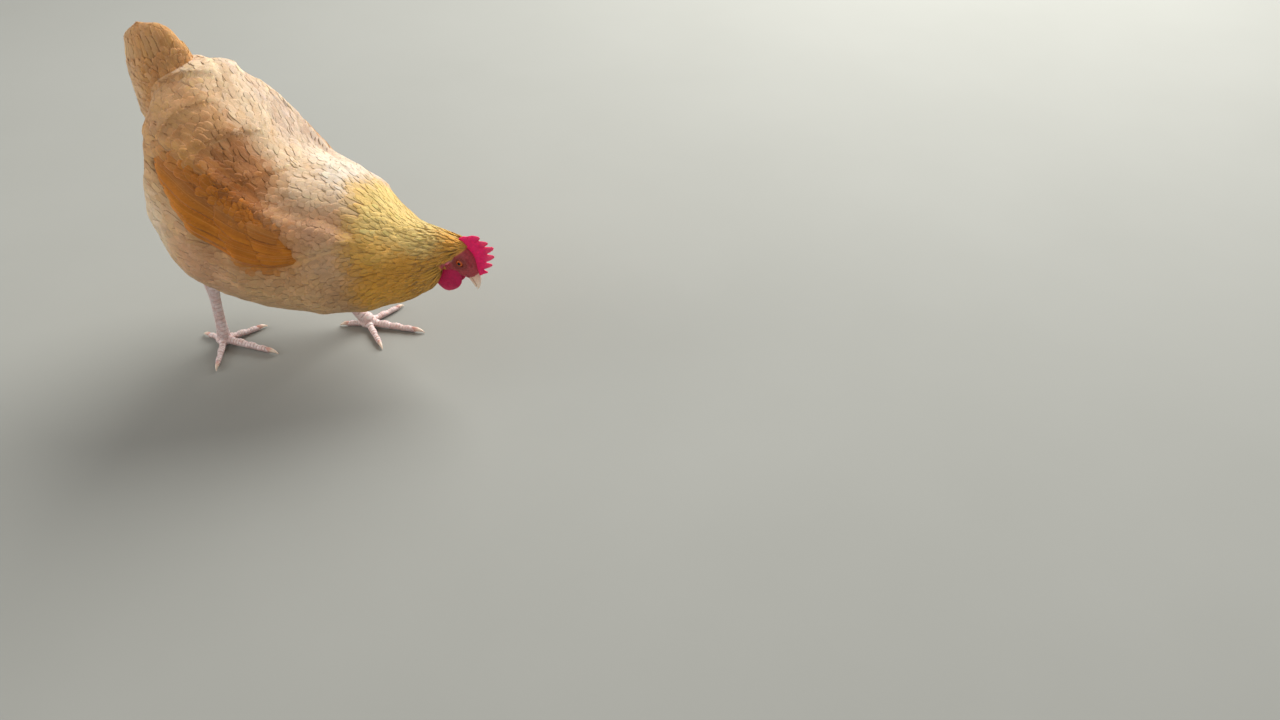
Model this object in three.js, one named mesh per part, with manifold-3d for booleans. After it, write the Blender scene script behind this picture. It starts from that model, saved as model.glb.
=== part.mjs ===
// A life-size still model of a buff hen that walks and looks for food: head low, tail high,
// left foot forward. Millimetres, +X the way that the hen heads, +Y her left, +Z up.
// The floor is z = 0. Every sub-part is one closed solid in its own mesh.
import * as THREE from "three";
import { mergeVertices } from "three/addons/utils/BufferGeometryUtils.js";
import Module from "manifold-3d";

const wasm = await Module();
wasm.setup();
const { Manifold, Mesh: SolidMesh } = wasm;

// ---------------------------------------------------------------- driving dimensions

const GAP = 0.3; // between solids that touch

// Torso and neck: the back line and the belly line, from rump to nape, as [x, z], and the
// half width of the feathered body between them.
const PROFILE = [
  { back: [-104, 304], belly: [-112, 248], half: 22 },
  { back: [-95, 334], belly: [-116, 200], half: 56 },
  { back: [-74, 358], belly: [-109, 147], half: 86 },
  { back: [-42, 360], belly: [-82, 108], half: 107 },
  { back: [-7, 327], belly: [-38, 91], half: 117 },
  { back: [24, 288], belly: [12, 86], half: 115 },
  { back: [52, 257], belly: [58, 78], half: 102 },
  { back: [86, 248], belly: [106, 78], half: 89 },
  { back: [117, 236], belly: [148, 86], half: 71 },
  { back: [147, 217], belly: [176, 98], half: 54 },
  { back: [180, 200], belly: [193, 107], half: 41 },
  { back: [212, 190], belly: [203, 112], half: 30 },
  { back: [240, 185], belly: [209, 115], half: 21 },
  { back: [250, 177], belly: [222, 118], half: 15.5 },
];
const WIDEST = 0.4; // how far up a section is widest
const NECK_FROM = { x: 104, z: 172, slope: -22 }; // the plane between torso and neck
const BODY_RINGS = 34;
const BODY_SIDES = 28;

// Head: its eye line sits here, with the bill pointing down
const HEAD = { x: 238, z: 158, pitch: 60 };
const SKULL = [
  // behind the eyes to the root of the bill: x, crown, throat, half width
  { x: -26, up: 4, down: 6, half: 6 },
  { x: -20, up: 10, down: 14, half: 11 },
  { x: -12, up: 14, down: 20, half: 14 },
  { x: 0, up: 16.5, down: 20, half: 15.5 },
  { x: 10, up: 14, down: 17, half: 12.5 },
  { x: 18, up: 10.5, down: 14, half: 9.5 },
  { x: 24, up: 8, down: 11, half: 7 },
];
const EYE = { x: 0, y: 11.9, z: 2, r: 5, lid: 14.6, turn: 0.12 };
const MOUTH = { from: 13, to: 26, y: 12, z: -2.9 };
const NOSTRIL = { x: 28.5, y: 4.9, z: 2.6 };
const UPPER_BILL = [
  { x: 16, culmen: 9, mouth: -2.4, half: 7 },
  { x: 24, culmen: 7.6, mouth: -2.6, half: 6.2 },
  { x: 31, culmen: 5, mouth: -3.3, half: 4.7 },
  { x: 37, culmen: 1.2, mouth: -5, half: 3.2 },
  { x: 41.5, culmen: -3, mouth: -7.2, half: 1.9 },
  { x: 44.5, culmen: -8, mouth: -9.4, half: 0.6 },
];
const LOWER_BILL = [
  { x: 16, culmen: -9, mouth: -3.2, half: 6 },
  { x: 24, culmen: -9, mouth: -3.2, half: 5.2 },
  { x: 31, culmen: -9, mouth: -3.9, half: 3.9 },
  { x: 37, culmen: -9.2, mouth: -5.6, half: 2.5 },
  { x: 40.5, culmen: -9.8, mouth: -8, half: 1 },
];
const COMB = {
  from: -22,
  to: 24,
  crownBack: 12,
  crownFront: 7,
  arch: 5,
  valley: 0.54, // how deep the notches stay, as a share of the points beside them
  points: [19, 25, 27, 24, 18],
  leanBack: 0.35,
  leanFront: -0.05,
  rows: [
    { share: 0, half: 4.2 },
    { share: 0.4, half: 3.4 },
    { share: 0.75, half: 2.2 },
    { share: 1, half: 0.8 },
  ],
};
const WATTLE = {
  x: 224,
  z: 147,
  back: 0.16,
  rows: [
    { drop: 0, half: 8, thick: 2.4, out: 5 },
    { drop: 6, half: 12.5, thick: 2.8, out: 6.5 },
    { drop: 14, half: 16, thick: 2.8, out: 8.2 },
    { drop: 22, half: 16, thick: 2.6, out: 8.6 },
    { drop: 29, half: 12, thick: 2.1, out: 7.9 },
    { drop: 34.5, half: 5.5, thick: 1.2, out: 7.2 },
  ],
};
// The neck's feathers leave a wedge free for the face, its edge at the ears and its two planes
// given by the way each one faces, ahead.
const FACE = { x: 220, z: 159, size: 200, planes: [[0.5, -0.866], [0.93, -0.37]] };
const EAR = { x: -8, y: 13.6, z: -11.5, long: 4.5, thick: 3.2, high: 6.5 };

// Feathers: how thick a vane is at its shaft, and the tiers of each wing, from the body out.
// Places are [t, angle]: t from rump (0) to nape (1), angle in degrees from the back down.
const VANE_THICK = 0.6;
const WIDTH_VARIES = 0.05;
const TIP_VARIES = 0.006; // of t
const LENGTH_VARIES = 1.5; // of a tail vane
const ARM = { front: 0.61, rear: 0.36, frontAngle: 61, rearAngle: 61, spread: 18, height: 4, sunk: -3 };
const WING_TIERS = [
  {
    count: 3, // primaries, tucked under
    roots: { t: [0.4, 0.43], angle: [60, 70] },
    tips: { t: [0.18, 0.235], angle: [55, 64], bow: 0 },
    width: 20,
    low: 2.3,
    high: 2.5,
    lift: 0.7,
  },
  {
    count: 5, // secondaries
    roots: { t: [0.4, 0.45], angle: [50, 73] },
    tips: { t: [0.22, 0.27], angle: [49, 73], bow: 0.03 },
    width: 24,
    low: 2.4,
    high: 4.4,
    lift: 0.8,
  },
  {
    count: 5, // greater coverts
    roots: { t: [0.48, 0.51], angle: [50, 73] },
    tips: { t: [0.34, 0.385], angle: [49, 77], bow: 0.012 },
    width: 25,
    low: 2.4,
    high: 6.3,
    lift: 0.8,
  },
  {
    count: 4, // median coverts
    roots: { t: [0.545, 0.565], angle: [51, 72] },
    tips: { t: [0.435, 0.475], angle: [50, 76], bow: 0.01 },
    width: 31,
    low: 2.2,
    high: 8,
    lift: 0.8,
  },
];
const TAIL = {
  x: -72,
  z: 296,
  turn: 108,
  sweep: 4,
  core: [
    { at: -40, up: 18, down: 34, half: 24 },
    { at: -10, up: 30, down: 50, half: 33 },
    { at: 20, up: 30, down: 55, half: 34 },
    { at: 48, up: 28, down: 46, half: 27 },
    { at: 70, up: 23, down: 34, half: 17 },
    { at: 84, up: 14, down: 22, half: 8 },
    { at: 92, up: 6, down: 10, half: 3 },
  ],
};
const TAIL_TIERS = [
  {
    count: 7, // the main tail feathers
    turns: [88, 112],
    lengths: [99, 114, 105],
    start: 40,
    width: 28,
    outs: [3, 10],
    spreads: [0, 9],
    tilt: 17,
  },
  {
    count: 5, // major coverts
    turns: [88, 114],
    lengths: [80, 90, 84],
    start: 36,
    width: 32,
    outs: [8, 18],
    spreads: [0, 6],
    tilt: 17,
  },
  {
    count: 4, // lesser coverts
    turns: [90, 116],
    lengths: [64, 70, 66],
    start: 30,
    width: 34,
    outs: [14, 26],
    spreads: [-1, 3],
    tilt: 17,
  },
];

// Legs
const SHANK_TOP_R = 8.5;
const SHANK_R = 6.2;
const LEGS = {
  right: {
    side: -1,
    hip: [-40, 170],
    hock: [-76, 100],
    palm: [-80, 9],
    y: 38,
    toes: { middle: -4, inner: 50, outer: -72, hind: 166 },
  },
  left: {
    side: 1,
    hip: [-6, 150],
    hock: [16, 74],
    palm: [80, 9],
    y: 38,
    toes: { middle: 2, inner: -48, outer: 60, hind: -166 },
  },
};
const TOES = {
  middle: { length: 62, root: 5.6, tip: 3.4, claw: 14 },
  inner: { length: 44, root: 5, tip: 3.1, claw: 12 },
  outer: { length: 46, root: 4.8, tip: 3, claw: 11 },
  hind: { length: 25, root: 4.4, tip: 3, claw: 11 },
};

const THIGH = [
  { s: 0, r: 40 },
  { s: 0.3, r: 41 },
  { s: 0.6, r: 34 },
  { s: 0.85, r: 22 },
  { s: 0.97, r: 13 },
  { s: 1.02, r: 9 },
];
const SCUTES = 10;
const PALM = [
  { up: 0, r: 8.5 },
  { up: 3.5, r: 10.8 },
  { up: 8, r: 10.2 },
  { up: 13, r: 8.2 },
  { up: 16, r: 6.5 },
];
const CLAW = [
  { s: 0, r: 0.9, high: 1.15 },
  { s: 0.3, r: 0.8, high: 1.25 },
  { s: 0.6, r: 0.58, high: 1.05 },
  { s: 0.85, r: 0.34, high: 0.62 },
  { s: 1, r: 0.14, high: 0.25 },
];

// ---------------------------------------------------------------- colours

const finish = (color, roughness) => new THREE.MeshStandardMaterial({ color, roughness, metalness: 0 });
const BUFF = finish(0xd99a4e, 0.9);
const GOLD = finish(0xdc9a35, 0.85);
const CREAM = finish(0xe6c08a, 0.95);
const RUST = finish(0xc98542, 0.85);
const RED = finish(0xc0182e, 0.6);
const FLESH = finish(0xb03038, 0.65);
const HORN = finish(0xd8b8a4, 0.45);
const SKIN = finish(0xe0cfc2, 0.6);
const AMBER = finish(0x9a4a14, 0.15);

// ---------------------------------------------------------------- meshes and solids

const vec = (x, y, z) => new THREE.Vector3(x, y, z);
const radians = THREE.MathUtils.degToRad;
const lerp = THREE.MathUtils.lerp;
const smooth = THREE.MathUtils.smoothstep;

// Repeatable small differences between feathers, from -1 to 1.
let seed = 11;
function vary() {
  seed = (seed * 16807) % 2147483647;
  return (2 * seed) / 2147483647 - 1;
}

// A closed three.js geometry as a manifold-3d solid, whichever way round it was wound.
function solid(geometry) {
  const bare = geometry.clone();
  bare.deleteAttribute("normal");
  bare.deleteAttribute("uv");
  const merged = mergeVertices(bare, 1e-4);
  const triVerts = new Uint32Array(merged.index.array);
  const vertProperties = merged.attributes.position.array;
  const made = new Manifold(new SolidMesh({ numProp: 3, vertProperties, triVerts }));
  if (made.volume() > 0) return made;
  triVerts.reverse();
  return new Manifold(new SolidMesh({ numProp: 3, vertProperties, triVerts }));
}

// The largest closed surface of a solid, as a geometry.
function geometryOf(made) {
  const bodies = made.decompose().sort((a, b) => b.volume() - a.volume());
  const { numProp, numVert, vertProperties, triVerts } = bodies[0].getMesh();
  const position = new Float32Array(numVert * 3);
  for (let i = 0; i < numVert; i++) {
    position.set(vertProperties.subarray(i * numProp, i * numProp + 3), i * 3);
  }
  return new THREE.BufferGeometry()
    .setAttribute("position", new THREE.BufferAttribute(position, 3))
    .setIndex(new THREE.BufferAttribute(triVerts, 1));
}

const joined = (pieces) => pieces.reduce((whole, piece) => whole.add(piece));

// A closed loft through rings of equally many points, its ends closed by fans.
function loft(rings) {
  const sides = rings[0].length;
  const points = rings.flat();
  const index = [];
  rings.slice(1).forEach((_, i) => {
    for (let k = 0; k < sides; k++) {
      const a = i * sides + k;
      const b = i * sides + ((k + 1) % sides);
      index.push(a, b, a + sides, b, b + sides, a + sides);
    }
  });
  [0, rings.length - 1].forEach((r) => {
    const middle = rings[r].reduce((sum, p) => sum.add(p), vec(0, 0, 0)).divideScalar(sides);
    const hub = points.push(middle) - 1;
    for (let k = 0; k < sides; k++) {
      const a = r * sides + k;
      const b = r * sides + ((k + 1) % sides);
      index.push(...(r === 0 ? [b, a, hub] : [a, b, hub]));
    }
  });
  return new THREE.BufferGeometry().setFromPoints(points).setIndex(index);
}

// A thin closed blade over a grid of top points and the matching points under them,
// split into triangles alike on both faces.
function blade(top, under) {
  const rows = top.length;
  const columns = top[0].length;
  const points = [...top.flat(), ...under.flat()];
  const index = [];
  const at = (face, row, column) => face * rows * columns + row * columns + column;
  const quad = (a, b, c, d) => index.push(a, b, c, a, c, d);
  for (let i = 0; i + 1 < rows; i++) {
    for (let j = 0; j + 1 < columns; j++) {
      quad(at(0, i, j), at(0, i + 1, j), at(0, i + 1, j + 1), at(0, i, j + 1));
      const [a, b, c, d] = [at(1, i, j), at(1, i + 1, j), at(1, i + 1, j + 1), at(1, i, j + 1)];
      index.push(a, c, b, a, d, c);
    }
    quad(at(0, i + 1, 0), at(0, i, 0), at(1, i, 0), at(1, i + 1, 0));
    quad(at(0, i, columns - 1), at(0, i + 1, columns - 1), at(1, i + 1, columns - 1), at(1, i, columns - 1));
  }
  for (let j = 0; j + 1 < columns; j++) {
    quad(at(0, 0, j), at(0, 0, j + 1), at(1, 0, j + 1), at(1, 0, j));
    quad(at(0, rows - 1, j + 1), at(0, rows - 1, j), at(1, rows - 1, j), at(1, rows - 1, j + 1));
  }
  return new THREE.BufferGeometry().setFromPoints(points).setIndex(index);
}

// A ring of points round a centre, from two half axes.
function ringAt(centre, across, up, sides, down = up.clone().negate()) {
  return Array.from({ length: sides }, (_, k) => {
    const a = (2 * Math.PI * k) / sides;
    const rise = Math.cos(a) > 0 ? up.clone().multiplyScalar(Math.cos(a)) : down.clone().multiplyScalar(-Math.cos(a));
    return centre.clone().addScaledVector(across, Math.sin(a)).add(rise);
  });
}

// ---------------------------------------------------------------- torso and neck

const backLine = new THREE.CatmullRomCurve3(PROFILE.map((p) => vec(p.back[0], 0, p.back[1])));
const bellyLine = new THREE.CatmullRomCurve3(PROFILE.map((p) => vec(p.belly[0], 0, p.belly[1])));
const halfWidths = new THREE.CatmullRomCurve3(PROFILE.map((p) => vec(p.half, 0, 0)));

// A point of the feathered body: t from rump to nape, angle from the back down her left side.
function onBody(t, angle) {
  const top = backLine.getPoint(t);
  const bottom = bellyLine.getPoint(t);
  const centre = bottom.clone().lerp(top, WIDEST);
  const rise = Math.cos(angle);
  const end = rise > 0 ? top : bottom;
  const point = centre.clone().lerp(end, Math.abs(rise));
  point.y = halfWidths.getPoint(t).x * Math.sin(angle);
  return point;
}

// The body's surface there: the point, how it moves with t and with angle, and which way is out.
function bodyFrame(t, angle) {
  const step = 1e-3;
  const along = onBody(Math.min(t + step, 1), angle).sub(onBody(Math.max(t - step, 0), angle));
  along.divideScalar(Math.min(t + step, 1) - Math.max(t - step, 0));
  const round = onBody(t, angle + step).sub(onBody(t, angle - step)).divideScalar(2 * step);
  const out = along.clone().cross(round).normalize();
  return { point: onBody(t, angle), along, round, out };
}

// A point at a height over the body's surface.
function overBody(t, angle, height) {
  const { point, out } = bodyFrame(t, angle);
  return point.addScaledVector(out, height);
}

function bodySolid(grown) {
  const rings = Array.from({ length: BODY_RINGS + 1 }, (_, i) => {
    const end = i === 0 ? -grown : i === BODY_RINGS ? grown : 0;
    return Array.from({ length: BODY_SIDES }, (_, k) => {
      const angle = (2 * Math.PI * k) / BODY_SIDES;
      const { along } = bodyFrame(i / BODY_RINGS, angle);
      return overBody(i / BODY_RINGS, angle, grown).addScaledVector(along.normalize(), end);
    });
  });
  return solid(loft(rings));
}

const body = bodySolid(0);
const bodyAround = bodySolid(GAP);
const neckNormal = vec(Math.cos(radians(NECK_FROM.slope)), 0, Math.sin(radians(NECK_FROM.slope)));
const neckPlane = neckNormal.dot(vec(NECK_FROM.x, 0, NECK_FROM.z));

// ---------------------------------------------------------------- head, in its own level frame
// Here +X is the way that the bill points, +Z the crown, and the origin lies between the eyes.

const headGroup = new THREE.Group();
headGroup.position.set(HEAD.x, 0, HEAD.z);
headGroup.rotation.y = radians(HEAD.pitch);
headGroup.updateMatrix();
const headMatrix = headGroup.matrix.toArray();
const headInverse = headGroup.matrix.clone().invert().toArray();

function skullSolid(grown) {
  const last = SKULL.length - 1;
  const rings = SKULL.map(({ x, up, down, half }, i) => {
    const end = i === 0 ? -grown : i === last ? grown : 0;
    return ringAt(vec(x + end, 0, 0), vec(0, half + grown, 0), vec(0, 0, up + grown), 16, vec(0, 0, -down - grown));
  });
  return solid(loft(rings));
}

function ball(radius, x, y, z, stretch = [1, 1, 1]) {
  return solid(new THREE.SphereGeometry(radius, 12, 8).scale(...stretch).translate(x, y, z));
}

function eyelid(side, grown) {
  const lid = new THREE.TorusGeometry(EYE.r + 0.1, 1.2 + grown, 5, 14);
  lid.scale(1.12, 0.95, 1).rotateX(Math.PI / 2).rotateZ(side * EYE.turn);
  return solid(lid.translate(EYE.x, side * EYE.lid, EYE.z));
}

function mouthLine(side) {
  const slot = new THREE.BoxGeometry(MOUTH.to - MOUTH.from, 6, 0.7);
  return solid(slot.translate((MOUTH.from + MOUTH.to) / 2, side * MOUTH.y, MOUTH.z));
}

const skullAround = skullSolid(GAP);
const eyeAt = (side, grown) => ball(EYE.r + grown, EYE.x, side * EYE.y, EYE.z, [1, 0.92, 1]);

// What is left of the body round the bare face.
function neckEnd(made, grown = 0) {
  const block = solid(new THREE.BoxGeometry(FACE.size, FACE.size, FACE.size).translate(FACE.x, 0, FACE.z));
  const ahead = FACE.planes.reduce((rest, [x, z]) => {
    const way = vec(x, 0, z).normalize();
    return rest.trimByPlane(way.toArray(), way.dot(vec(FACE.x, 0, FACE.z)) + grown);
  }, block);
  return made.subtract(ahead);
}

const neckAround = neckEnd(bodyAround, GAP);

function headSolid() {
  let made = joined([skullSolid(0), eyelid(1, 0), eyelid(-1, 0)]);
  [1, -1].forEach((side) => {
    made = made.subtract(eyeAt(side, GAP)).subtract(mouthLine(side));
  });
  return made;
}

// A half of the bill: rings from face to tip, each flat on the side of the mouth.
function billHalf(rows, upper) {
  const rings = rows.map(({ x, culmen, mouth, half }) =>
    Array.from({ length: 14 }, (_, k) => {
      const a = (2 * Math.PI * k) / 14;
      const rise = upper ? Math.cos(a) : -Math.cos(a);
      const z = rise > 0 ? lerp(mouth, culmen, rise) : mouth;
      return vec(x, half * Math.sin(a) * (rise > 0 ? 1 : Math.abs(Math.sin(a))), z + Math.min(rise, 0) * 0.02);
    }),
  );
  return solid(loft(rings));
}

function upperBill() {
  let made = billHalf(UPPER_BILL, true).subtract(skullAround).subtract(comb(GAP));
  [1, -1].forEach((side) => {
    made = made.subtract(ball(1, NOSTRIL.x, side * NOSTRIL.y, NOSTRIL.z, [2.2, 1.2, 0.8]));
  });
  return made;
}

// The single comb: an upright blade along the crown, thinner to its edge, cut into points.
function comb(grown) {
  const columns = COMB.points.length * 4;
  const grid = (side) =>
    COMB.rows.map(({ share, half }) =>
      Array.from({ length: columns + 1 }, (_, j) => {
        const s = j / columns;
        const point = COMB.points[Math.min(Math.floor(j / 4), COMB.points.length - 1)];
        const notch = [1, 0.42, 0, 0.42][j % 4];
        const height = point * lerp(1, COMB.valley, notch) * (j === 0 || j === columns ? 0.6 : 1);
        const x = lerp(COMB.from, COMB.to, s);
        const crown = lerp(COMB.crownBack, COMB.crownFront, s) + COMB.arch * Math.sin(Math.PI * s);
        const z = crown + height * share;
        const lean = lerp(COMB.leanBack, COMB.leanFront, s) * share * height;
        return vec(x + lean, side * (half + grown), z + (share - 0.5) * grown);
      }),
    );
  return solid(blade(grid(1), grid(-1))).subtract(skullAround).subtract(neckAround.transform(headInverse));
}

// A wattle hangs straight down from the throat, whichever way the head points.
function wattle(side) {
  const rings = WATTLE.rows.map(({ drop, half, thick, out }) =>
    ringAt(
      vec(WATTLE.x - drop * WATTLE.back, side * out, WATTLE.z - drop),
      vec(half, 0, 0),
      vec(0, thick, 0),
      12,
    ),
  );
  return solid(loft(rings)).subtract(neckAround).subtract(skullAround.transform(headMatrix)).transform(headInverse);
}

function earlobe(side, grown) {
  return ball(1, EAR.x, side * EAR.y, EAR.z, [EAR.long + grown, EAR.thick + grown, EAR.high + grown]);
}

// ---------------------------------------------------------------- feather vanes

const VANE_STEPS = [0, 0.42, 0.8, 1];
const VANE_WIDTHS = [0.6, 1, 0.9, 0.3];

// A vane that lies over the body from one place to another, as [t, angle] on the left side.
// height(s) is the height of its shaft, and lift raises its lower edge over its upper edge.
function bodyVane({ from, to, width, height, lift, thick = VANE_THICK }) {
  const grid = (depth) =>
    VANE_STEPS.map((s, i) => {
      const t = lerp(from[0], to[0], s);
      const angle = lerp(from[1], to[1], s);
      const { along, round, out } = bodyFrame(t, angle);
      const ahead = along.clone().multiplyScalar(to[0] - from[0]).addScaledVector(round, to[1] - from[1]).normalize();
      const across = out.clone().cross(ahead).normalize();
      const sign = across.dot(round) > 0 ? 1 : -1;
      return [-1, 0, 1].map((c) => {
        const step = across.clone().multiplyScalar(sign * c * (width / 2) * VANE_WIDTHS[i]);
        const dt = step.dot(along) / along.lengthSq();
        const da = step.dot(round) / round.lengthSq();
        return overBody(t + dt, angle + da, height(s) + lift * c - depth);
      });
    });
  return solid(blade(grid(0), grid(thick)));
}

// ---------------------------------------------------------------- wings

// The folded arm under the coverts, a low pillow on the body.
function wingArm() {
  const rows = 8;
  const columns = 6;
  const grid = (upper) =>
    Array.from({ length: rows + 1 }, (_, i) => {
      const s = i / rows;
      const t = lerp(ARM.front, ARM.rear, s);
      const middle = lerp(ARM.frontAngle, ARM.rearAngle, s);
      const spread = ARM.spread * Math.sqrt((1 - (2 * s - 1) ** 4) * 0.8 + 0.2);
      return Array.from({ length: columns + 1 }, (_, j) => {
        const c = (2 * j) / columns - 1;
        const dome = Math.sqrt((1 - c ** 4) * (1 - (2 * s - 1) ** 4));
        const height = upper ? ARM.sunk + (ARM.height - ARM.sunk) * dome : ARM.sunk - 2;
        return overBody(t, radians(middle + c * spread), height);
      });
    });
  return solid(blade(grid(true), grid(false)));
}

function wing(side) {
  const vanes = WING_TIERS.flatMap(({ count, roots, tips, width, low, high, lift }) =>
    Array.from({ length: count }, (_, i) => {
      const k = i / (count - 1);
      const tipT = lerp(tips.t[0], tips.t[1], k) - tips.bow * Math.sin(Math.PI * k);
      const tipAngle = lerp(tips.angle[0], tips.angle[1], k);
      return bodyVane({
        from: [lerp(roots.t[0], roots.t[1], k), radians(lerp(roots.angle[0], roots.angle[1], k))],
        to: [tipT + TIP_VARIES * vary(), radians(tipAngle + vary())],
        width: width * (1 + WIDTH_VARIES * vary()),
        height: (s) => lerp(low, high, smooth(s, 0, 0.5)),
        lift,
      });
    }),
  );
  const left = joined([wingArm(), ...vanes]);
  return (side > 0 ? left : left.mirror([0, 1, 0])).subtract(bodyAround);
}

// ---------------------------------------------------------------- tail

// A tail vane from the root: turned to an angle over the horizon, leaning out by lean.
function tailVane({ side, turn, length, start, width, out, spread, tilt }) {
  const way = vec(Math.cos(radians(turn)), 0, Math.sin(radians(turn)));
  const lower = vec(-Math.sin(radians(turn)), 0, Math.cos(radians(turn)));
  const across = lower.clone().multiplyScalar(Math.cos(radians(tilt))).add(vec(0, side * Math.sin(radians(tilt)), 0));
  const face = vec(0, side * Math.cos(radians(tilt)), 0).addScaledVector(lower, -Math.sin(radians(tilt)));
  const grid = (depth) =>
    VANE_STEPS.map((s, i) =>
      [-1, 0, 1].map((c) =>
        vec(TAIL.x, 0, TAIL.z)
          .addScaledVector(way, lerp(start, length, s))
          .addScaledVector(lower, TAIL.sweep * s * s)
          .addScaledVector(across, c * (width / 2) * VANE_WIDTHS[i])
          .add(vec(0, side * lerp(out, out + spread, s), 0))
          .addScaledVector(face, -depth),
      ),
    );
  return solid(blade(grid(0), grid(VANE_THICK)));
}

function tailCore() {
  const way = vec(Math.cos(radians(TAIL.turn)), 0, Math.sin(radians(TAIL.turn)));
  const lower = vec(-way.z, 0, way.x);
  const rings = TAIL.core.map(({ at, up, down, half }) =>
    ringAt(
      vec(TAIL.x, 0, TAIL.z).addScaledVector(way, at),
      vec(0, half, 0),
      lower.clone().multiplyScalar(-up),
      16,
      lower.clone().multiplyScalar(down),
    ),
  );
  return solid(loft(rings));
}

function tail() {
  const vanes = [1, -1].flatMap((side) =>
    TAIL_TIERS.flatMap(({ count, turns, lengths, start, width, outs, spreads, tilt }) =>
      Array.from({ length: count }, (_, i) => {
        const k = count === 1 ? 0 : i / (count - 1);
        const pick = ([a, b]) => lerp(a, b, k);
        const [first, longest, last] = lengths;
        const reach = k < 0.5 ? lerp(first, longest, Math.sin(Math.PI * k)) : lerp(last, longest, Math.sin(Math.PI * k));
        return tailVane({
          side,
          turn: pick(turns),
          length: reach + LENGTH_VARIES * vary(),
          start,
          width: width * (1 + WIDTH_VARIES * vary()),
          out: pick(outs),
          spread: pick(spreads),
          tilt,
        });
      }),
    ),
  );
  return joined([tailCore(), ...vanes]).subtract(bodyAround);
}

// ---------------------------------------------------------------- legs

// The feathered drumstick, from inside the body down to the hock.
function thigh({ side, hip, hock, y }) {
  const from = vec(hip[0], side * (y + 6), hip[1]);
  const to = vec(hock[0], side * y, hock[1]);
  const way = to.clone().sub(from).normalize();
  const across = vec(0, 1, 0);
  const up = way.clone().cross(across).normalize();
  const rings = THIGH.map(({ s, r }) =>
    ringAt(from.clone().lerp(to, s), across.clone().multiplyScalar(r * 0.9), up.clone().multiplyScalar(r), 16),
  );
  return solid(loft(rings));
}

// The scaled shank: its front carries plates, each standing proud of the next one down.
function shank({ side, hock, palm, y }, grown) {
  const top = vec(hock[0], side * y, hock[1]);
  const bottom = vec(palm[0], side * y, palm[1]);
  const way = bottom.clone().sub(top).normalize();
  const across = vec(0, 1, 0);
  const front = across.clone().cross(way).normalize();
  front.multiplyScalar(front.x > 0 ? 1 : -1);
  const ringOf = (s, proud) => {
    const flare = 1.3 * smooth(s, 0.75, 1) + grown;
    const r = SHANK_R + (SHANK_TOP_R - SHANK_R) * (1 - smooth(s, 0, 0.3)) + flare;
    return ringAt(
      top.clone().lerp(bottom, s),
      across.clone().multiplyScalar(r * 0.88),
      front.clone().multiplyScalar(r + proud),
      10,
      front.clone().multiplyScalar(-r * 1.05),
    );
  };
  const rings = [ringOf(-0.08 - grown / 100, -1)];
  for (let i = 0; i < SCUTES; i++) {
    rings.push(ringOf((i + 0.04) / SCUTES, 0.55), ringOf((i + 0.96) / SCUTES, 0.05));
  }
  return solid(loft(rings));
}

function palm({ side, palm: [x, z], y }, grown) {
  const rings = PALM.map(({ up, r }) =>
    ringAt(vec(x, side * y, up === 0 ? 0 : up + grown), vec(r + grown, 0, 0), vec(0, r + grown, 0), 14),
  );
  return solid(loft(rings));
}

// A toe along the floor with a pad under each joint; its soles lie flat on z = 0.
function toe({ side, palm: [x], y, toes }, name) {
  const { length, root, tip } = TOES[name];
  const turn = radians(toes[name]);
  const way = vec(Math.cos(turn), Math.sin(turn), 0);
  const across = vec(-way.y, way.x, 0);
  const pads = Math.round(length / 15);
  const steps = pads * 2 + 1;
  const rings = Array.from({ length: steps + 1 }, (_, i) => {
    const s = i / steps;
    const pad = i % 2 === 1 ? 1 : 0.84;
    const r = lerp(root, tip, s) * (i === steps ? 0.9 : pad);
    const sole = i % 2 === 1 && i < steps ? 0 : 0.5;
    const centre = vec(x, side * y, 0).addScaledVector(way, lerp(6, length, s));
    return Array.from({ length: 8 }, (_, k) => {
      const a = (2 * Math.PI * (k + 0.5)) / 8;
      const z = Math.max(sole, sole + r * 0.75 + r * Math.cos(a));
      return centre.clone().addScaledVector(across, r * 0.95 * Math.sin(a)).add(vec(0, 0, z));
    });
  });
  return solid(loft(rings));
}

function claw({ side, palm: [x], y, toes }, name) {
  const { length, tip, claw: reach } = TOES[name];
  const turn = radians(toes[name]);
  const way = vec(Math.cos(turn), Math.sin(turn), 0);
  const across = vec(-way.y, way.x, 0);
  const rings = CLAW.map(({ s, r, high }) =>
    ringAt(
      vec(x, side * y, 0).addScaledVector(way, length + GAP + s * reach).add(vec(0, 0, high * tip)),
      across.clone().multiplyScalar(r * tip * 0.75),
      vec(0, 0, r * tip),
      6,
    ),
  );
  return solid(loft(rings));
}

// ---------------------------------------------------------------- the nodes

const hen = new THREE.Group();
hen.add(headGroup);

function add(name, made, material, parent = hen) {
  const mesh = new THREE.Mesh(geometryOf(made), material);
  mesh.name = name;
  parent.add(mesh);
  return mesh;
}

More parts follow.
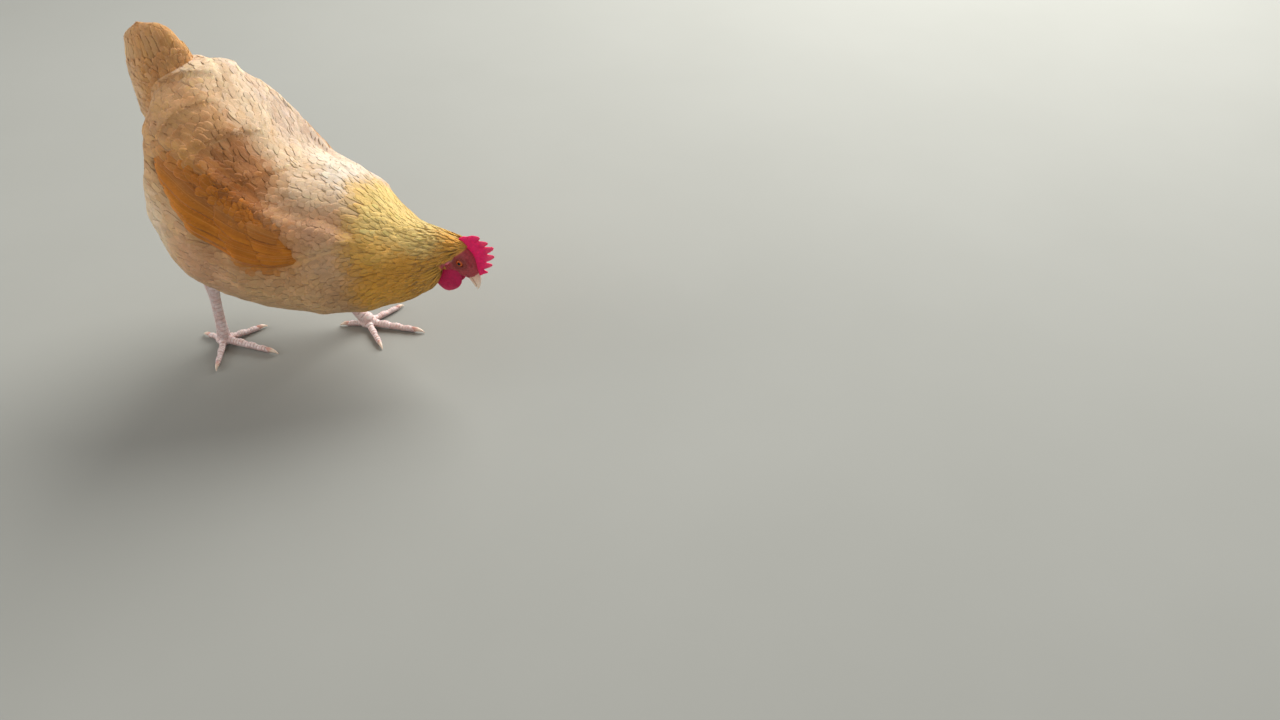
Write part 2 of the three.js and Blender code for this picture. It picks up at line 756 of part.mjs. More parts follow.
add("torso", body.trimByPlane(neckNormal.clone().negate().toArray(), -neckPlane + GAP / 2), BUFF);
const headRoom = joined([skullAround, earlobe(1, GAP), earlobe(-1, GAP)]).transform(headMatrix);
add(
  "neck",
  neckEnd(body)
    .trimByPlane(neckNormal.toArray(), neckPlane + GAP / 2)
    .subtract(headRoom),
  GOLD,
);
add("head", headSolid(), FLESH, headGroup);
add("comb", comb(0), RED, headGroup);
add("bill_upper", upperBill(), HORN, headGroup);
add("bill_lower", billHalf(LOWER_BILL, false).subtract(skullAround), HORN, headGroup);
Object.entries({ left: 1, right: -1 }).forEach(([name, side]) => {
  add(`eye_${name}`, eyeAt(side, 0), AMBER, headGroup);
  add(`wattle_${name}`, wattle(side), RED, headGroup);
  add(`earlobe_${name}`, earlobe(side, 0).subtract(skullAround), RED, headGroup);
  add(`wing_${name}`, wing(side), RUST);
  const leg = LEGS[name];
  const palmAround = palm(leg, GAP);
  add(`thigh_${name}`, thigh(leg).subtract(bodyAround).subtract(shank(leg, GAP)), CREAM);
  add(`shank_${name}`, shank(leg, 0).subtract(palmAround).subtract(bodyAround), SKIN);
  add(`palm_${name}`, palm(leg, 0), SKIN);
  Object.keys(TOES).forEach((toeName) => {
    add(`toe_${name}_${toeName}`, toe(leg, toeName).subtract(palmAround), SKIN);
    add(`claw_${name}_${toeName}`, claw(leg, toeName), HORN);
  });
});
add("tail", tail(), BUFF);

// The origin is the middle of the box round the whole hen, on the floor.
const middle = new THREE.Box3().setFromObject(hen, true).getCenter(vec(0, 0, 0));
hen.position.set(-middle.x, -middle.y, 0);
hen.updateMatrixWorld(true);

export default hen;
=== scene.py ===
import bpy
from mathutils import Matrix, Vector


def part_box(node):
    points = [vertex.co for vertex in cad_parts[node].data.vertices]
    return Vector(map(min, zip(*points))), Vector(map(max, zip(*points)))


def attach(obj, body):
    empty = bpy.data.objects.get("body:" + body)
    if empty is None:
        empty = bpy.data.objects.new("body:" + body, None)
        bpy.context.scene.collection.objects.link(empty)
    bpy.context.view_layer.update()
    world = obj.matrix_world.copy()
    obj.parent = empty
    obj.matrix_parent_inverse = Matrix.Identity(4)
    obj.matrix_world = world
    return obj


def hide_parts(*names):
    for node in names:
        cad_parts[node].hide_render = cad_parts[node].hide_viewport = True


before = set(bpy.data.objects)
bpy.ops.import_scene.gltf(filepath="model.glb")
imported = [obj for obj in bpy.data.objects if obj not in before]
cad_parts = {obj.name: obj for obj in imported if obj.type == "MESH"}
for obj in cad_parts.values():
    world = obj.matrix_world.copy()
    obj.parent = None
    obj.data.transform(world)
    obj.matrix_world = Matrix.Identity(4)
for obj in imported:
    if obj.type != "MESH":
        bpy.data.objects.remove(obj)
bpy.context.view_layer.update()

import math

import bpy
import numpy as np
from mathutils import Matrix, Vector

# A buff hen that walks with her head low. Shapes are worked out in millimetres, in a frame
# whose X runs ahead, Y to her left and Z up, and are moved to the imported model's frame as
# each mesh is made.

MM = 0.001

# ------------------------------------------------------------------ driving sizes

HEAD = (238.0, 0.0, 158.0)  # between the eyes
HEAD_PITCH = math.radians(60)  # how far the bill points down
EYE_OVER_HEAD = 2.0  # the eyes sit this far over the head's centre line

# Torso and neck: back line and belly line as x, z, and the half width between them
PROFILE = np.array([
    [-104, 304, -112, 248, 22],
    [-95, 334, -116, 200, 56],
    [-74, 358, -109, 147, 86],
    [-42, 360, -82, 108, 107],
    [-7, 327, -38, 91, 117],
    [24, 288, 12, 86, 115],
    [52, 257, 58, 78, 102],
    [86, 248, 106, 78, 89],
    [117, 236, 148, 86, 71],
    [147, 217, 176, 98, 54],
    [180, 200, 193, 107, 41],
    [212, 189, 202, 113, 30],
    [238, 184, 206, 119, 20.5],
    [246.5, 177.5, 216, 150, 14.2],
], float)
WIDEST = 0.4  # how far up a section is widest
SHORTEST = 1e-4  # a gap between rows of a curve that counts as none
NEARBY = 1e-3  # how far apart in t or in angle places are that show a loft's slope

# ------------------------------------------------------------------ small tools


def unit(v):
    return v / np.maximum(np.linalg.norm(v, axis=-1, keepdims=True), 1e-9)


def smooth(x, low, high):
    """0 under low, 1 over high, and an even curve between them."""
    s = np.clip((np.asarray(x, float) - low) / (high - low), 0, 1)
    return s * s * (3 - 2 * s)


def between(x, *edges):
    """1 between two soft edges, each given by where it begins and ends, and 0 outside them."""
    return smooth(x, *edges[:2]) * (1 - smooth(x, *edges[2:]))


def xyz(x, y, z):
    """Points from their coordinates, where one number may stand for all."""
    return np.stack(np.broadcast_arrays(x, y, z), -1)


def turns(count):
    """Even angles round a circle."""
    return np.arange(count) * 2 * np.pi / count


def spline(rows, u):
    """A centripetal Catmull-Rom curve through rows, at shares u of its length in rows."""
    rows = np.asarray(rows, float)
    last = len(rows) - 1
    x = np.clip(u, 0, 1) * last
    i = np.minimum(x.astype(int), last - 1)
    w = (x - i)[..., None]
    padded = np.vstack([2 * rows[0] - rows[1], rows, 2 * rows[-1] - rows[-2]])
    p0, p1, p2, p3 = (padded[i + k] for k in range(4))
    pairs = ((p0, p1), (p1, p2), (p2, p3))
    d0, d1, d2 = (np.maximum(((b - a) ** 2).sum(-1, keepdims=True), 1e-12) ** 0.25 for a, b in pairs)
    d1 = np.where(d1 < SHORTEST, 1, d1)
    d0, d2 = (np.where(d < SHORTEST, d1, d) for d in (d0, d2))
    m1 = ((p1 - p0) / d0 - (p2 - p0) / (d0 + d1) + (p2 - p1) / d1) * d1
    m2 = ((p2 - p1) / d1 - (p3 - p1) / (d1 + d2) + (p3 - p2) / d2) * d1
    a = 2 * p1 - 2 * p2 + m1 + m2
    b = -3 * p1 + 3 * p2 - 2 * m1 - m2
    return ((a * w + b) * w + m1) * w + p1


def turned(a):
    """How many degrees an angle is from the top, on either side."""
    return np.degrees(np.abs((a + np.pi) % (2 * np.pi) - np.pi))


class Ripple:
    """Smooth repeatable noise from -1 to 1: waves of about one size in random directions."""

    def __init__(self, size, seed, waves=9):
        draw = np.random.default_rng(seed)
        ways = unit(draw.normal(size=(waves, 3)))
        self.ways = ways * 2 * np.pi / (size * draw.uniform(0.6, 1.6, (waves, 1)))
        self.phases = draw.uniform(0, 2 * np.pi, waves)

    def at(self, points):
        return np.sin(points @ self.ways.T + self.phases).sum(-1) / math.sqrt(len(self.phases) * 2)


eyes = [sum((Vector(c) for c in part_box(f"eye_{side}")), Vector()) / 2 for side in ("left", "right")]
EYES_AT = (eyes[0] + eyes[1]) / 2
HEAD_TURN = np.array(Matrix.Rotation(HEAD_PITCH, 3, "Y"))
SHIFT = np.array(EYES_AT) / MM - np.array(HEAD) - HEAD_TURN @ np.array([0, 0, EYE_OVER_HEAD])


def from_head(points):
    """From the head's own level frame, X along the bill and Z to the crown, to the hen's."""
    return np.asarray(points, float) @ HEAD_TURN.T + np.array(HEAD)


def to_head(points):
    return (np.asarray(points, float) - np.array(HEAD)) @ HEAD_TURN


def to_frame(points):
    return (np.asarray(points, float) + SHIFT) * MM


def from_frame(points):
    return np.asarray(points, float) / MM - SHIFT


def new_object(name, points, faces):
    """A mesh object from points in millimetres, and arrays or lists of faces."""
    mesh = bpy.data.meshes.new(name)
    flat = np.concatenate([np.asarray(f, np.int32).ravel() for f in faces])
    sizes = np.concatenate([np.full(len(f), np.shape(f)[1], np.int32) for f in faces])
    mesh.vertices.add(len(points))
    mesh.vertices.foreach_set("co", to_frame(points).astype(np.float32).ravel())
    mesh.loops.add(len(flat))
    mesh.loops.foreach_set("vertex_index", flat)
    mesh.polygons.add(len(sizes))
    mesh.polygons.foreach_set("loop_start", np.concatenate([[0], np.cumsum(sizes)[:-1]]).astype(np.int32))
    mesh.update(calc_edges=True)
    mesh.shade_smooth()
    made = bpy.data.objects.new(name, mesh)
    bpy.context.scene.collection.objects.link(made)
    return made


def coordinates(made):
    co = np.zeros(len(made.data.vertices) * 3, np.float32)
    made.data.vertices.foreach_get("co", co)
    return from_frame(co.reshape(-1, 3))


def normals_of(made):
    no = np.zeros(len(made.data.vertices) * 3, np.float32)
    made.data.vertices.foreach_get("normal", no)
    return no.reshape(-1, 3).astype(float)


def move_to(made, points):
    made.data.vertices.foreach_set("co", to_frame(points).astype(np.float32).ravel())
    made.data.update()


def store(made, name, kind, field, values):
    """A value for each point of a mesh."""
    layer = made.data.attributes.new(name, kind, "POINT")
    layer.data.foreach_set(field, values.astype(np.float32).ravel())


def paint(made, colours):
    """A colour for each point, as linear light."""
    store(made, "Tint", "FLOAT_COLOR", "color", np.column_stack([colours, np.ones(len(colours))]))


def linear(hexcode):
    """A colour written as six hex digits, in linear light."""
    c = np.array([int(hexcode[i:i + 2], 16) for i in (0, 2, 4)]) / 255
    return np.where(c <= 0.04045, c / 12.92, ((c + 0.055) / 1.055) ** 2.4)


def blend(a, b, share):
    share = np.asarray(share, float)[..., None]
    return np.asarray(a) * (1 - share) + np.asarray(b) * share


def raise_by(made, points, relief):
    """Moves a mesh to points, raised by a height along its normals."""
    move_to(made, points + normals_of(made) * relief[:, None])


def use(made, kind, **settings):
    modifier = made.modifiers.new(kind, kind)
    for key, value in settings.items():
        setattr(modifier, key, value)


def applied(made):
    """The object with its modifiers worked into its mesh."""
    bpy.context.view_layer.update()
    graph = bpy.context.evaluated_depsgraph_get()
    mesh = bpy.data.meshes.new_from_object(made.evaluated_get(graph))
    old = made.data
    made.modifiers.clear()
    made.data = mesh
    mesh.name = made.name
    mesh.shade_smooth()
    bpy.data.meshes.remove(old)
    return made


def melted(name, pieces, size, rounds):
    """Closed pieces grown together into one smooth surface, with faces of about that size."""
    first = pieces[0]
    chosen = {"active_object": first, "selected_editable_objects": pieces, "selected_objects": pieces}
    with bpy.context.temp_override(**chosen):
        bpy.ops.object.join()
    first.name = name
    use(first, "REMESH", mode="VOXEL", voxel_size=size * MM, use_smooth_shade=True)
    use(first, "SMOOTH", factor=0.5, iterations=rounds)
    return applied(first)


def cut(made, tool, operation="DIFFERENCE"):
    use(made, "BOOLEAN", operation=operation, solver="MANIFOLD", object=tool)
    applied(made)
    bpy.data.objects.remove(tool)


SIDES = {"left": 1, "right": -1}


def both_sides(function):
    """What a function makes for the left side, and then for the right one."""
    return [function(name, side) for name, side in SIDES.items()]


def finished(made, look, slot, *nodes):
    """A piece with its material, and the nodes of the solids that it replaces. Its slot is not used."""
    made.data.materials.clear()
    made.data.materials.append(look)
    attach(made, "root")
    if nodes:
        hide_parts(*nodes)
    return made


# ------------------------------------------------------------------ lofts


class Loft:
    """A round form. t runs along it from 0 to 1, and a round it, from its top to its left."""

    def __init__(self, sections):
        self.sections = sections

    def at(self, t, a):
        inside = np.clip(t, 0, 1)
        centre, across, up, down = self.sections(inside)
        rise = np.cos(a)[..., None]
        return centre + across * np.sin(a)[..., None] + np.where(rise > 0, up, -down) * rise

    def frame(self, t, a):
        """The point, how it moves with t and with a, and the way out."""
        inside = np.clip(t, 0, 1)
        low, high = np.maximum(inside - NEARBY, 0), np.minimum(inside + NEARBY, 1)
        along = (self.at(high, a) - self.at(low, a)) / (high - low)[..., None]
        around = (self.at(inside, a + NEARBY) - self.at(inside, a - NEARBY)) / (2 * NEARBY)
        out = unit(np.cross(along, around))
        return self.at(inside, a) + along * (t - inside)[..., None], along, around, out


def body_sections(t):
    back, belly = spline(PROFILE[:, 0:2], t), spline(PROFILE[:, 2:4], t)
    half = spline(PROFILE[:, 4:5], t)[..., 0]
    top = xyz(back[..., 0], 0, back[..., 1])
    bottom = xyz(belly[..., 0], 0, belly[..., 1])
    centre = bottom + WIDEST * (top - bottom)
    return centre, xyz(0, half, 0), top - centre, bottom - centre


BODY = Loft(body_sections)


def level_loft(rows):
    """A loft along X, from rows of x, y, z, top, bottom and half width."""
    rows = np.asarray(rows, float)

    def sections(t):
        r = spline(rows, t)
        return r[..., :3], xyz(0, r[..., 5], 0), xyz(0, 0, r[..., 3]), xyz(0, 0, -r[..., 4])

    return Loft(sections)


def rod_loft(points, radii, flat=1.0, up=(0, 0, 1)):
    """A loft along a line of points, with a radius at each, and flat times as high as wide."""
    rows = np.column_stack([np.asarray(points, float), np.asarray(radii, float)])

    def sections(t):
        here = spline(rows, t)
        ahead = spline(rows, np.minimum(t + NEARBY, 1)) - spline(rows, np.maximum(t - NEARBY, 0))
        way = unit(ahead[..., :3])
        across = unit(np.cross(np.broadcast_to(np.array(up, float), way.shape), way))
        high = np.cross(way, across)
        r = here[..., 3:4]
        return here[..., :3], across * r, high * r * flat, -high * r * flat

    return Loft(sections)


def ring_quads(rings, sides, closed=False):
    """Quads over rings of points, where closed joins the last ring to the first as well."""
    i, k = np.meshgrid(np.arange(rings if closed else rings - 1), np.arange(sides), indexing="ij")
    here, there, beside = i * sides, (i + 1) % rings * sides, (k + 1) % sides
    return np.stack([here + k, there + k, there + beside, here + beside], -1).reshape(-1, 4)


def shell_faces(rings, sides):
    """Faces over rings of points and, at each end, to a hub. The hubs come after the rings."""
    k = np.arange(sides)
    beside, last, hub = (k + 1) % sides, (rings - 1) * sides, rings * sides
    start = np.stack([k, beside, np.full(sides, hub)], -1)
    end = np.stack([last + beside, last + k, np.full(sides, hub + 1)], -1)
    return ring_quads(rings, sides), start, end


def round_grid(rings, sides):
    """t and a for rings of points over a loft."""
    return np.meshgrid(np.linspace(0, 1, rings), turns(sides), indexing="ij")


def skin_of(loft, rings, sides, lift=None, place=None, name="form"):
    """A closed mesh over a loft. lift(t, a, points) gives a height over it."""
    t, a = round_grid(rings, sides)
    points, _, _, out = loft.frame(t, a)
    if lift:
        points = points + out * lift(t, a, points)[..., None]
    hubs = [points[0].mean(0), points[-1].mean(0)]
    points = np.vstack([points.reshape(-1, 3), hubs])
    return new_object(name, place(points) if place else points, shell_faces(rings, sides))


def ball(centre, radii, place=None, turn=None, name="ball", sides=32):
    """An egg form, as rings from its under side up."""
    around = turns(sides)
    heights = np.linspace(-1, 1, sides // 2 + 1)[1:-1] * np.pi / 2
    rings = [xyz(math.cos(h) * np.cos(around), math.cos(h) * np.sin(around), math.sin(h)) for h in heights]
    points = np.vstack([*rings, [[0, 0, -1], [0, 0, 1]]]) * np.array(radii, float)
    if turn is not None:
        points = points @ turn.T
    points = points + np.array(centre, float)
    quads, start, end = shell_faces(len(rings), sides)
    outward = [quads[:, [0, 3, 2, 1]], start[:, ::-1], end[:, ::-1]]
    return new_object(name, place(points) if place else points, outward)


# ------------------------------------------------------------------ colours of the plumage

GOLD = linear("e19e3d")
HONEY = linear("edb658")
STRAW = linear("f3cc76")
BUFF = linear("d39b66")
PALE = linear("ecc89c")
# a pale cream for painted highlights
IVORY_HIGHLIGHT = linear("f4dfc0")
RICH = linear("cb7626")
CREAM = linear("efcc9f")
FAWN = linear("dcaa74")
TAN = linear("d7a074")
DUSK = linear("ad7040")
BROWN = linear("cf9052")
UMBER = linear("9c5c2a")
SAND = linear("c08f62")
DOVE = linear("d9ab7e")

# Soft markings, with painted highlights and painted shade among them, laid one over another on
# a fawn ground: colour, t from and to, and the angle from the back from and to
PAST_END, ALL_ROUND = 9, 999
MARKINGS_AND_PAINTED_LIGHT = [
    (CREAM, -PAST_END, 0.22, 72, ALL_ROUND),  # rear fluff
    (CREAM, -PAST_END, 0.29, 155, ALL_ROUND),
    (TAN, 0.23, 0.36, 78, 112),  # thigh cover
    (BUFF, -PAST_END, 0.5, 10, 68),  # saddle and back
    # The next two rows are painted shade in the crease between the tail and the saddle
    (SAND, 0.06, 0.16, -ALL_ROUND, 34),
    (DUSK, -PAST_END, 0.06, -ALL_ROUND, 33),  # by the tail, painted shade
    (BROWN, -PAST_END, 0.06, 33, 56),
    # The next four rows, darker above the wing and on the side of the back, are partly painted shade
    (BROWN, 0.23, 0.3, 34, 56),
    (DUSK, 0.29, 0.44, 12, 57),  # side of the back
    (UMBER, 0.29, 0.45, 34, 56),
    (DUSK, 0.29, 0.36, 56, 78),
    (PALE, 0.16, 0.62, -ALL_ROUND, 11),  # painted highlight along the ridge
    (PALE, 0.45, 0.62, -ALL_ROUND, 33),  # painted highlight on the cape
    (TAN, 0.45, 0.62, 33, 57),
    (BUFF, 0.36, 0.54, 57, 80),
    (DOVE, 0.54, 0.62, 57, 80),
    (SAND, 0.54, 0.62, 80, 157),
    # painted highlight on the upper back
    (IVORY_HIGHLIGHT, 0.54, 0.62, -ALL_ROUND, 11),
    (GOLD, 0.625, PAST_END, -ALL_ROUND, ALL_ROUND),  # hackle
    (GOLD, 0.595, PAST_END, 82, 150),
    # paler top of the hackle, partly painted highlight
    (STRAW, 0.625, 0.87, -ALL_ROUND, 46),
    (HONEY, 0.625, 0.74, 46, 64),
]
EDGE_T, EDGE_A = 0.045, 11  # half the width of a marking's soft edges
EDGE_SWAY = 0.008  # how far the edges wander in t
FAR_WING = 0.55  # how much paler than the right wing the left one is; the right wing's deeper orange is partly painted shade


def patch(x, low, high, soft):
    """1 from low to high, with edges of half width soft."""
    return between(x, low - soft, low + soft, high - soft, high + soft)


PAINTED_CREASE_SHADE = np.array([0.14, 0.2, 0.26])  # how much of each colour the painted shade in a hollow takes away
WING_SHADE = 0.8  # how much of the wing's own colour lies on its feathers
WING_EDGE = 3.0  # how soft the wing's colour ends, in degrees
WING_RICH_TO = (0.42, 0.54)  # t over which the wing's colour ends ahead
HIGHLIGHT_STRIP_A, HIGHLIGHT_STRIP_T = (0.0, 0.3, 0.8, 1.2), (0.12, 0.2, 0.58, 0.66)  # painted highlight just past the ridge on her left
STRIP_HIGHLIGHT, STRIP_AHEAD = 0.5, 0.15  # how pale the painted highlight is, and how much paler ahead


def body_tint(t, a):
    """The markings' colours, with a painted highlight just past the ridge of the back on her left,
    richer on the wings, and painted shade in the hollows."""
    tint = np.broadcast_to(FAWN, (*np.shape(t), 3))
    sway = EDGE_SWAY * (np.sin(5 * a + 1) + 0.7 * np.sin(11 * a + 2))
    for colour, t0, t1, a0, a1 in MARKINGS_AND_PAINTED_LIGHT:
        tint = blend(tint, colour, patch(t + sway, t0, t1, EDGE_T) * patch(turned(a), a0, a1, EDGE_A))
    # painted highlight just past the ridge on her left
    past = between(a, *HIGHLIGHT_STRIP_A) * between(t, *HIGHLIGHT_STRIP_T)
    tint = blend(tint, IVORY_HIGHLIGHT, (STRIP_HIGHLIGHT + STRIP_AHEAD * smooth(t, 0.4, 0.5)) * past)
    # the left wing paler, as the right wing's deeper orange is partly painted shade
    cover = blend(RICH, BUFF, FAR_WING * smooth(a, 0, 0.3))
    on_wing = wing_share(t, a, WING_EDGE) * (1 - smooth(t, *WING_RICH_TO))
    tint = blend(tint, cover, WING_SHADE * on_wing)
    # painted shade in the hollows under the steps
    return tint * (1 - painted_crease(t, a)[..., None] * PAINTED_CREASE_SHADE)


# ------------------------------------------------------------------ the coat's form

# The vanes' measures in mm over the body: a row for each t, with a value for each angle from
# the back. Depth is how far under the coat's outside a vane has its root.
COAT_T = np.array([0, 0.12, 0.3, 0.45, 0.58, 0.7, 0.85, 0.95, 1])
COAT_A = np.array([0, 60, 110, 180])
LENGTH = [
    [34, 32, 28, 26],
    [40, 36, 30, 28],
    [40, 36, 32, 30],
    [36, 34, 32, 30],
    [34, 32, 30, 28],
    [38, 36, 32, 28],
    [32, 30, 26, 24],
    [18, 17, 16, 16],
    [8, 8, 8, 8],
]
WIDTH = [
    [12, 12, 10, 9],
    [14, 13, 11, 10],
    [15, 14, 12, 11],
    [14, 14, 13, 12],
    [12, 12, 12, 12],
    [9, 9, 9.6, 10.4],
    [6.6, 6.8, 7.2, 7.6],
    [4, 4, 4.2, 4.6],
    [2.5, 2.5, 2.5, 2.5],
]
SPACING = [
    [4.2, 4.0, 3.9, 3.9],
    [4.5, 4.3, 3.9, 3.9],
    [4.6, 4.4, 3.9, 3.9],
    [4.5, 4.3, 4.0, 3.9],
    [4.1, 4.0, 4.0, 3.9],
    [3.2, 3.3, 3.6, 3.8],
    [2.3, 2.4, 2.7, 3.0],
    [1.6, 1.6, 1.8, 1.9],
    [1.15, 1.15, 1.2, 1.2],
]
DEPTH = [
    [2.2, 2.2, 2.8, 2.8],
    [2.0, 2.0, 2.8, 2.8],
    [2.0, 2.0, 2.8, 3],
    [2.0, 2.0, 2.4, 2.8],
    [2.1, 2.1, 2.4, 2.6],
    [2.0, 2.0, 2.3, 2.5],
    [1.8, 1.8, 2.1, 2.3],
    [1.5, 1.5, 1.7, 1.9],
    [1.0, 1.0, 1.0, 1.0],
]

LUMPS, LUMP_HEIGHT = Ripple(62, 3), 2.2
SMALL_LUMPS, SMALL_HEIGHT = Ripple(24, 8), 0.5

# The folded wing's outline on the body: t, and the angles of its upper and lower edge
WING_T = [0.16, 0.2, 0.3, 0.4, 0.5, 0.57, 0.62]
WING_TOP = [53, 50, 46, 45, 46, 49, 55]
WING_LOW = [57, 63, 75, 78, 70, 62, 57]
WING_SPAN = (0.17, 0.26, 0.6, 0.66)  # t over which it begins and ends
WING_STANDS = 5.0  # how far the wing stands over the body
REAR_TUCK = 5.0  # how far the rear's upper part draws in to meet the tail
TUCK_T, TUCK_A = (0.02, 0.16), (90, 140)  # t and degrees over which that ends
EVEN_T = (0.84, 0.98)  # t over which the coat gets even to the face
HOLLOW_A = (25, 75)  # degrees over which the hollows end
HOLLOWS = [(0.405, 0.045, 5.5), (0.76, 0.06, 3.0)]  # on the back: t, half length in t, depth


def span(marks, x):
    """The mark before each x, and how far x is from it to the next one."""
    i = np.clip(np.searchsorted(marks, x) - 1, 0, len(marks) - 2)
    return i, smooth(x, marks[i], marks[i + 1])


def measure(rows, t, a):
    """A measure of the coat's vanes, read smoothly from its rows."""
    rows = np.array(rows, float)
    i, u = span(COAT_T, t)
    k, v = span(COAT_A, turned(a))
    low, high = (rows[j, k] * (1 - v) + rows[j, k + 1] * v for j in (i, i + 1))
    return low * (1 - u) + high * u


def past_wing_top(t, a):
    """How many degrees below the folded wing's upper edge a place is."""
    return turned(a) - np.interp(t, WING_T, WING_TOP)


def wing_share(t, a, soft=7.0):
    """1 on the folded wing, falling to 0 past its edges."""
    top = np.interp(t, WING_T, WING_TOP)
    low = np.interp(t, WING_T, WING_LOW)
    return between(turned(a), top - soft, top + 1, low - 3, low + 2) * between(t, *WING_SPAN)


# Steps where one layer of the cushion lies over the next: from t, angle to t, angle, height
STEPS = [
    (0.105, 28, 0.275, 5, 4.4),
    (0.205, 47, 0.275, 18, 3.8),
    (0.275, 44, 0.375, 6, 3.0),
    (0.345, 50, 0.46, 8, 2.2),
    (0.08, 62, 0.15, 46, 2.6),
    (0.6, 100, 0.63, 30, 1.2),
]
T_LENGTH, DEGREE = 420.0, 2.0  # about how far t, and a degree round the body, reach in mm
RIDGE_ROUND = 8.0  # within this many degrees of the ridge the steps bend over to the other side
STEP_FADE = 22.0  # how far past its edge a step has sunk to a third
CREASE_AT, CREASE_REACH = 2.5, 3.0  # how far before the edge its painted shade is darkest, and half its width


def past_step(t, a, step):
    """How far in mm past a step's edge a place is, and 1 where it is beside the step."""
    t0, a0, t1, a1, _ = step
    run = np.array([(t1 - t0) * T_LENGTH, (a1 - a0) * DEGREE])
    reach = np.hypot(*run)
    run = run / reach
    dx, dy = (t - t0) * T_LENGTH, (np.hypot(turned(a), RIDGE_ROUND) - a0) * DEGREE
    share = (dx * run[0] + dy * run[1]) / reach
    past = (dy * run[0] - dx * run[1]) * np.sign(-run[1])
    return -past, between(share, -0.25, 0.15, 0.85, 1.25)


def coat_height(t, a, points):
    """How far the coat's outside stands over the body's plain form."""
    height = LUMP_HEIGHT * LUMPS.at(points) + SMALL_HEIGHT * SMALL_LUMPS.at(points)
    for step in STEPS:
        past, window = past_step(t, a, step)
        rise = smooth(past, -2.5, 1.5) * np.exp(-np.maximum(past, 0) / STEP_FADE)
        height = height + step[-1] * window * rise
    tuck = (1 - smooth(t, *TUCK_T)) * (1 - smooth(turned(a), *TUCK_A))
    height = height * (1 - smooth(t, *EVEN_T)) - REAR_TUCK * tuck
    for at, reach, deep in HOLLOWS:
        height = height - deep * np.exp(-((t - at) / reach) ** 2) * (1 - smooth(turned(a), *HOLLOW_A))
    return height + WING_STANDS * wing_share(t, a)


def painted_crease(t, a):
    """Painted shade: 1 in the hollow under each step's edge, falling to 0 round it."""
    share = np.zeros(np.shape(t))
    for step in STEPS:
        past, window = past_step(t, a, step)
        dark = np.exp(-((past + CREASE_AT) / CREASE_REACH) ** 2)
        share = np.maximum(share, window * step[-1] / STEPS[0][-1] * dark)
    return share


# ------------------------------------------------------------------ feathers

BAKE_PATCH = 0.003  # how wide and high each vane lies on the bake map
BAKE_MARGIN = 0.01


def bake_roots(t, a):
    """Where each vane's middle lies on the bake map, from its root on a loft."""
    around = (a + np.pi) % (2 * np.pi) / (2 * np.pi)
    return BAKE_MARGIN + (1 - 2 * BAKE_MARGIN) * np.column_stack([around, np.clip(t, 0, 1)])


def vane_faces(rows, columns):
    """The faces of one vane: its web, its two under sides, and its ends."""
    ids = np.arange(rows * (columns + 1)).reshape(rows, columns + 1)
    r, c = np.meshgrid(np.arange(rows - 1), np.arange(columns - 1), indexing="ij")
    web = np.stack([ids[r, c], ids[r + 1, c], ids[r + 1, c + 1], ids[r, c + 1]], -1).reshape(-1, 4)
    k = np.arange(rows - 1)
    left = np.stack([ids[k, 0], ids[k, -1], ids[k + 1, -1], ids[k + 1, 0]], -1)
    right = np.stack([ids[k, -1], ids[k, -2], ids[k + 1, -2], ids[k + 1, -1]], -1)
    ends = np.stack([ids[0], np.r_[ids[-1, -2::-1], ids[-1, -1]]])
    return web, np.vstack([left, right]), ends


def with_keel(grid, keel):
    """Each row's values over the vane, and then the one for its keel."""
    return np.concatenate([grid, keel[:, :, None]], 2).reshape(-1, 3)


class Vanes:
    """Feather vanes gathered for one mesh: a grid of points over each, and a keel under it."""

    def __init__(self):
        self.batches = []

    def add(self, top, keel, place, tint, t, a):
        """top, place and tint are N x rows x columns x 3, and keel N x rows x 3."""
        self.batches.append((top, keel, place, tint, bake_roots(t, a)))

    def build(self, name, slot, *nodes):
        """One mesh, with the vanes' colours, their places on the vane and their bake map."""
        points, faces, is_web, tints, places, patches = [], [], [], [], [], []
        base = 0
        for top, keel, place, tint, root in self.batches:
            n, rows, columns = top.shape[:3]
            each = rows * (columns + 1)
            starts = base + each * np.arange(n)[:, None, None]
            for part, web in zip(vane_faces(rows, columns), (True, False, False)):
                faces.append((part + starts).reshape(-1, part.shape[1]))
                is_web.append(np.full(len(faces[-1]), web))
            points.append(with_keel(top, keel))
            tints.append(with_keel(tint, tint[:, :, columns // 2]))
            places.append(with_keel(place, place[:, :, columns // 2]))
            across = np.r_[np.linspace(-0.5, 0.5, columns), 0]
            along, across = np.meshgrid(np.linspace(-0.5, 0.5, rows), across, indexing="ij")
            spread = BAKE_PATCH * np.stack([across, along], -1)
            patches.append((root[:, None, None] + spread).reshape(-1, 2))
            base += n * each
        made = new_object(name, np.vstack(points), faces)
        made.data.polygons.foreach_set("use_smooth", np.concatenate(is_web))
        paint(made, np.vstack(tints))
        store(made, "Vane", "FLOAT_VECTOR", "vector", np.vstack(places))
        index = np.zeros(len(made.data.loops), np.int32)
        made.data.loops.foreach_get("vertex_index", index)
        uv = made.data.uv_layers.new(name="OFBake")
        uv.data.foreach_set("uv", np.vstack(patches)[index].astype(np.float32).ravel())
        return finished(made, PLUMAGE, slot, *nodes)


